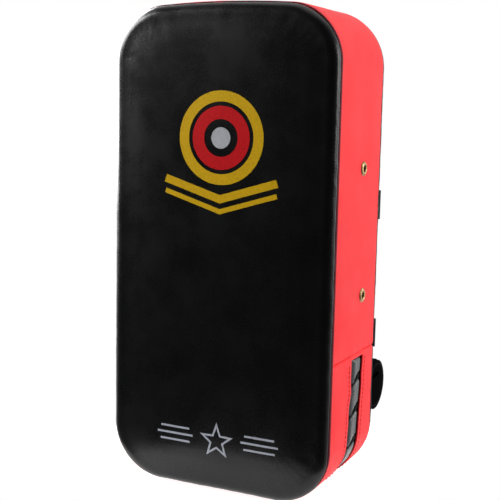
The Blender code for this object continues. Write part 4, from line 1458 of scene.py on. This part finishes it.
def build_ring(level, tab_bar, strap_bar, height):
    """A rectangular wire ring that leans from its tab up to the strap."""
    low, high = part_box(level + "_ring")
    half = (high.z - low.z) / 2 - WIRE
    length = np.linalg.norm(strap_bar - tab_bar)
    corner = RING_CORNER
    flat = []
    for u, v, start in ((length - corner, half - corner, 0), (corner, half - corner, 90),
                        (corner, -half + corner, 180), (length - corner, -half + corner, 270)):
        for a in np.radians(start + np.linspace(0, 90, 9)):
            flat.append((u + corner * math.cos(a), v + corner * math.sin(a)))
    flat.append(flat[0])
    flat = evenly_spaced(flat, 1.5 * MM)[:-1]
    run = (strap_bar - tab_bar) / length
    line = np.array([(tab_bar[0] + run[0] * u, tab_bar[1] + run[1] * u, height + v) for u, v in flat])
    ring = tube(level + "_metal_ring", line, WIRE, 16, NICKEL, up=(-run[1], run[0], 0), closed=True)
    hand_over(ring, "nickel_steel", level + "_ring", level + "_ring")


def build_strap(level):
    """Webbing sewn on at the left, over the forearm, round the ring and back on itself."""
    low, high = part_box(level + "_strap")
    height = (low.z + high.z) / 2
    width = high.z - low.z
    half_thick = STRAP_THICKNESS / 2
    ring_low, ring_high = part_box(level + "_ring")
    tab_bar = np.array([ring_high.x - WIRE, ring_low.y + WIRE])
    strap_bar = np.array([ring_low.x + WIRE, ring_high.y - WIRE])
    run = (strap_bar - tab_bar) / np.linalg.norm(strap_bar - tab_bar)
    outward = np.array([run[1], -run[0]])
    turn = WIRE + RING_PLAY + half_thick
    tab_low, tab_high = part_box(level + "_ring_tab")
    build_tab(level, tab_bar, height, tab_high.z - tab_low.z)
    build_ring(level, tab_bar, strap_bar, height)

    top = high.y - half_thick
    lying = BACK_FACE + CLEAR + half_thick
    rise = (low.x + 14 * MM, lying)
    enter = strap_bar - outward * turn
    up = bezier(rise, (rise[0] + 12 * MM, lying), (-52 * MM, top), (0, top))
    down = bezier((0, top), (38 * MM, top), enter + run * 24 * MM, enter + run * 5 * MM) + [enter]
    facing = math.atan2(-outward[1], -outward[0])
    bend = half_turn(strap_bar, turn, facing)
    last = strap_bar + outward * turn + run * BEND_RUN
    path = [(low.x, lying), *up, *down[1:], *bend[1:], last]
    strap = ribbon(level + "_forearm_strap", path, height, width, STRAP_THICKNESS, WEBBING, seed=2)
    hand_over(strap, "black_webbing", "pad", level + "_strap")
    rows = stitch_rectangle("strap_thread", (low.x + 2 * MM, rise[0] - 1 * MM),
                            (height - width / 2 + 2.5 * MM, height + width / 2 - 2.5 * MM),
                            lying + half_thick, BLACK_THREAD, cross=True)
    hand_over(join_objects(rows, level + "_strap_stitching"), "black_webbing", "pad")

    over = np.array([enter] + down[-2::-1])
    marks = lengths_along(over)
    loop_offset = half_thick + CLEAR + TAPE / 2
    hook_offset = loop_offset + (TAPE + CLEAR)
    tail_offset = hook_offset + loop_offset
    loops = [beside(marks, over, s, loop_offset) for s in np.linspace(12 * MM, 86 * MM, 40)]
    loop_tape = ribbon(level + "_loop_tape", loops, height, width - 1.5 * MM, TAPE + LOOP_PILE, LOOPS,
                       seed=5)
    hand_over(loop_tape, "hook_and_loop", "pad", level + "_loop_patch")
    hooks = [beside(marks, over, s, hook_offset) for s in np.linspace(26 * MM, TAIL_LENGTH, 32)]
    hook_tape = ribbon(level + "_hook_tape", hooks, height, width - 2 * MM, TAPE, HOOKS, seed=6)
    hand_over(hook_tape, "hook_and_loop", level + "_tail", level + "_hook_patch")

    tail_path = []
    for s in np.linspace(BEND_RUN, TAIL_LENGTH, 60):
        ease = (1 + math.cos(math.pi * min(1.0, s / TAIL_MERGE))) / 2
        offset = tail_offset + (2 * turn - tail_offset) * ease
        tail_path.append(beside(marks, over, s, offset))
    tail = ribbon(level + "_free_tail", tail_path, height, width, STRAP_THICKNESS, WEBBING, seed=2)
    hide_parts(level + "_strap_tail")
    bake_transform(tail)


# ---------------------------------------------------------------- the whole scene

make_camera()
light_scene()
build_floor()
STRIKING_COVER = build_cover(Swell())
build_eyelets()
build_prints(STRIKING_COVER)
GRIP_CENTRE, GRIP_HALF = build_grip()
build_grip_webbing(GRIP_CENTRE, GRIP_HALF)
for hand in ("right", "left"):
    build_anchor(hand, GRIP_CENTRE.z)
for level in ("upper", "lower"):
    build_strap(level)
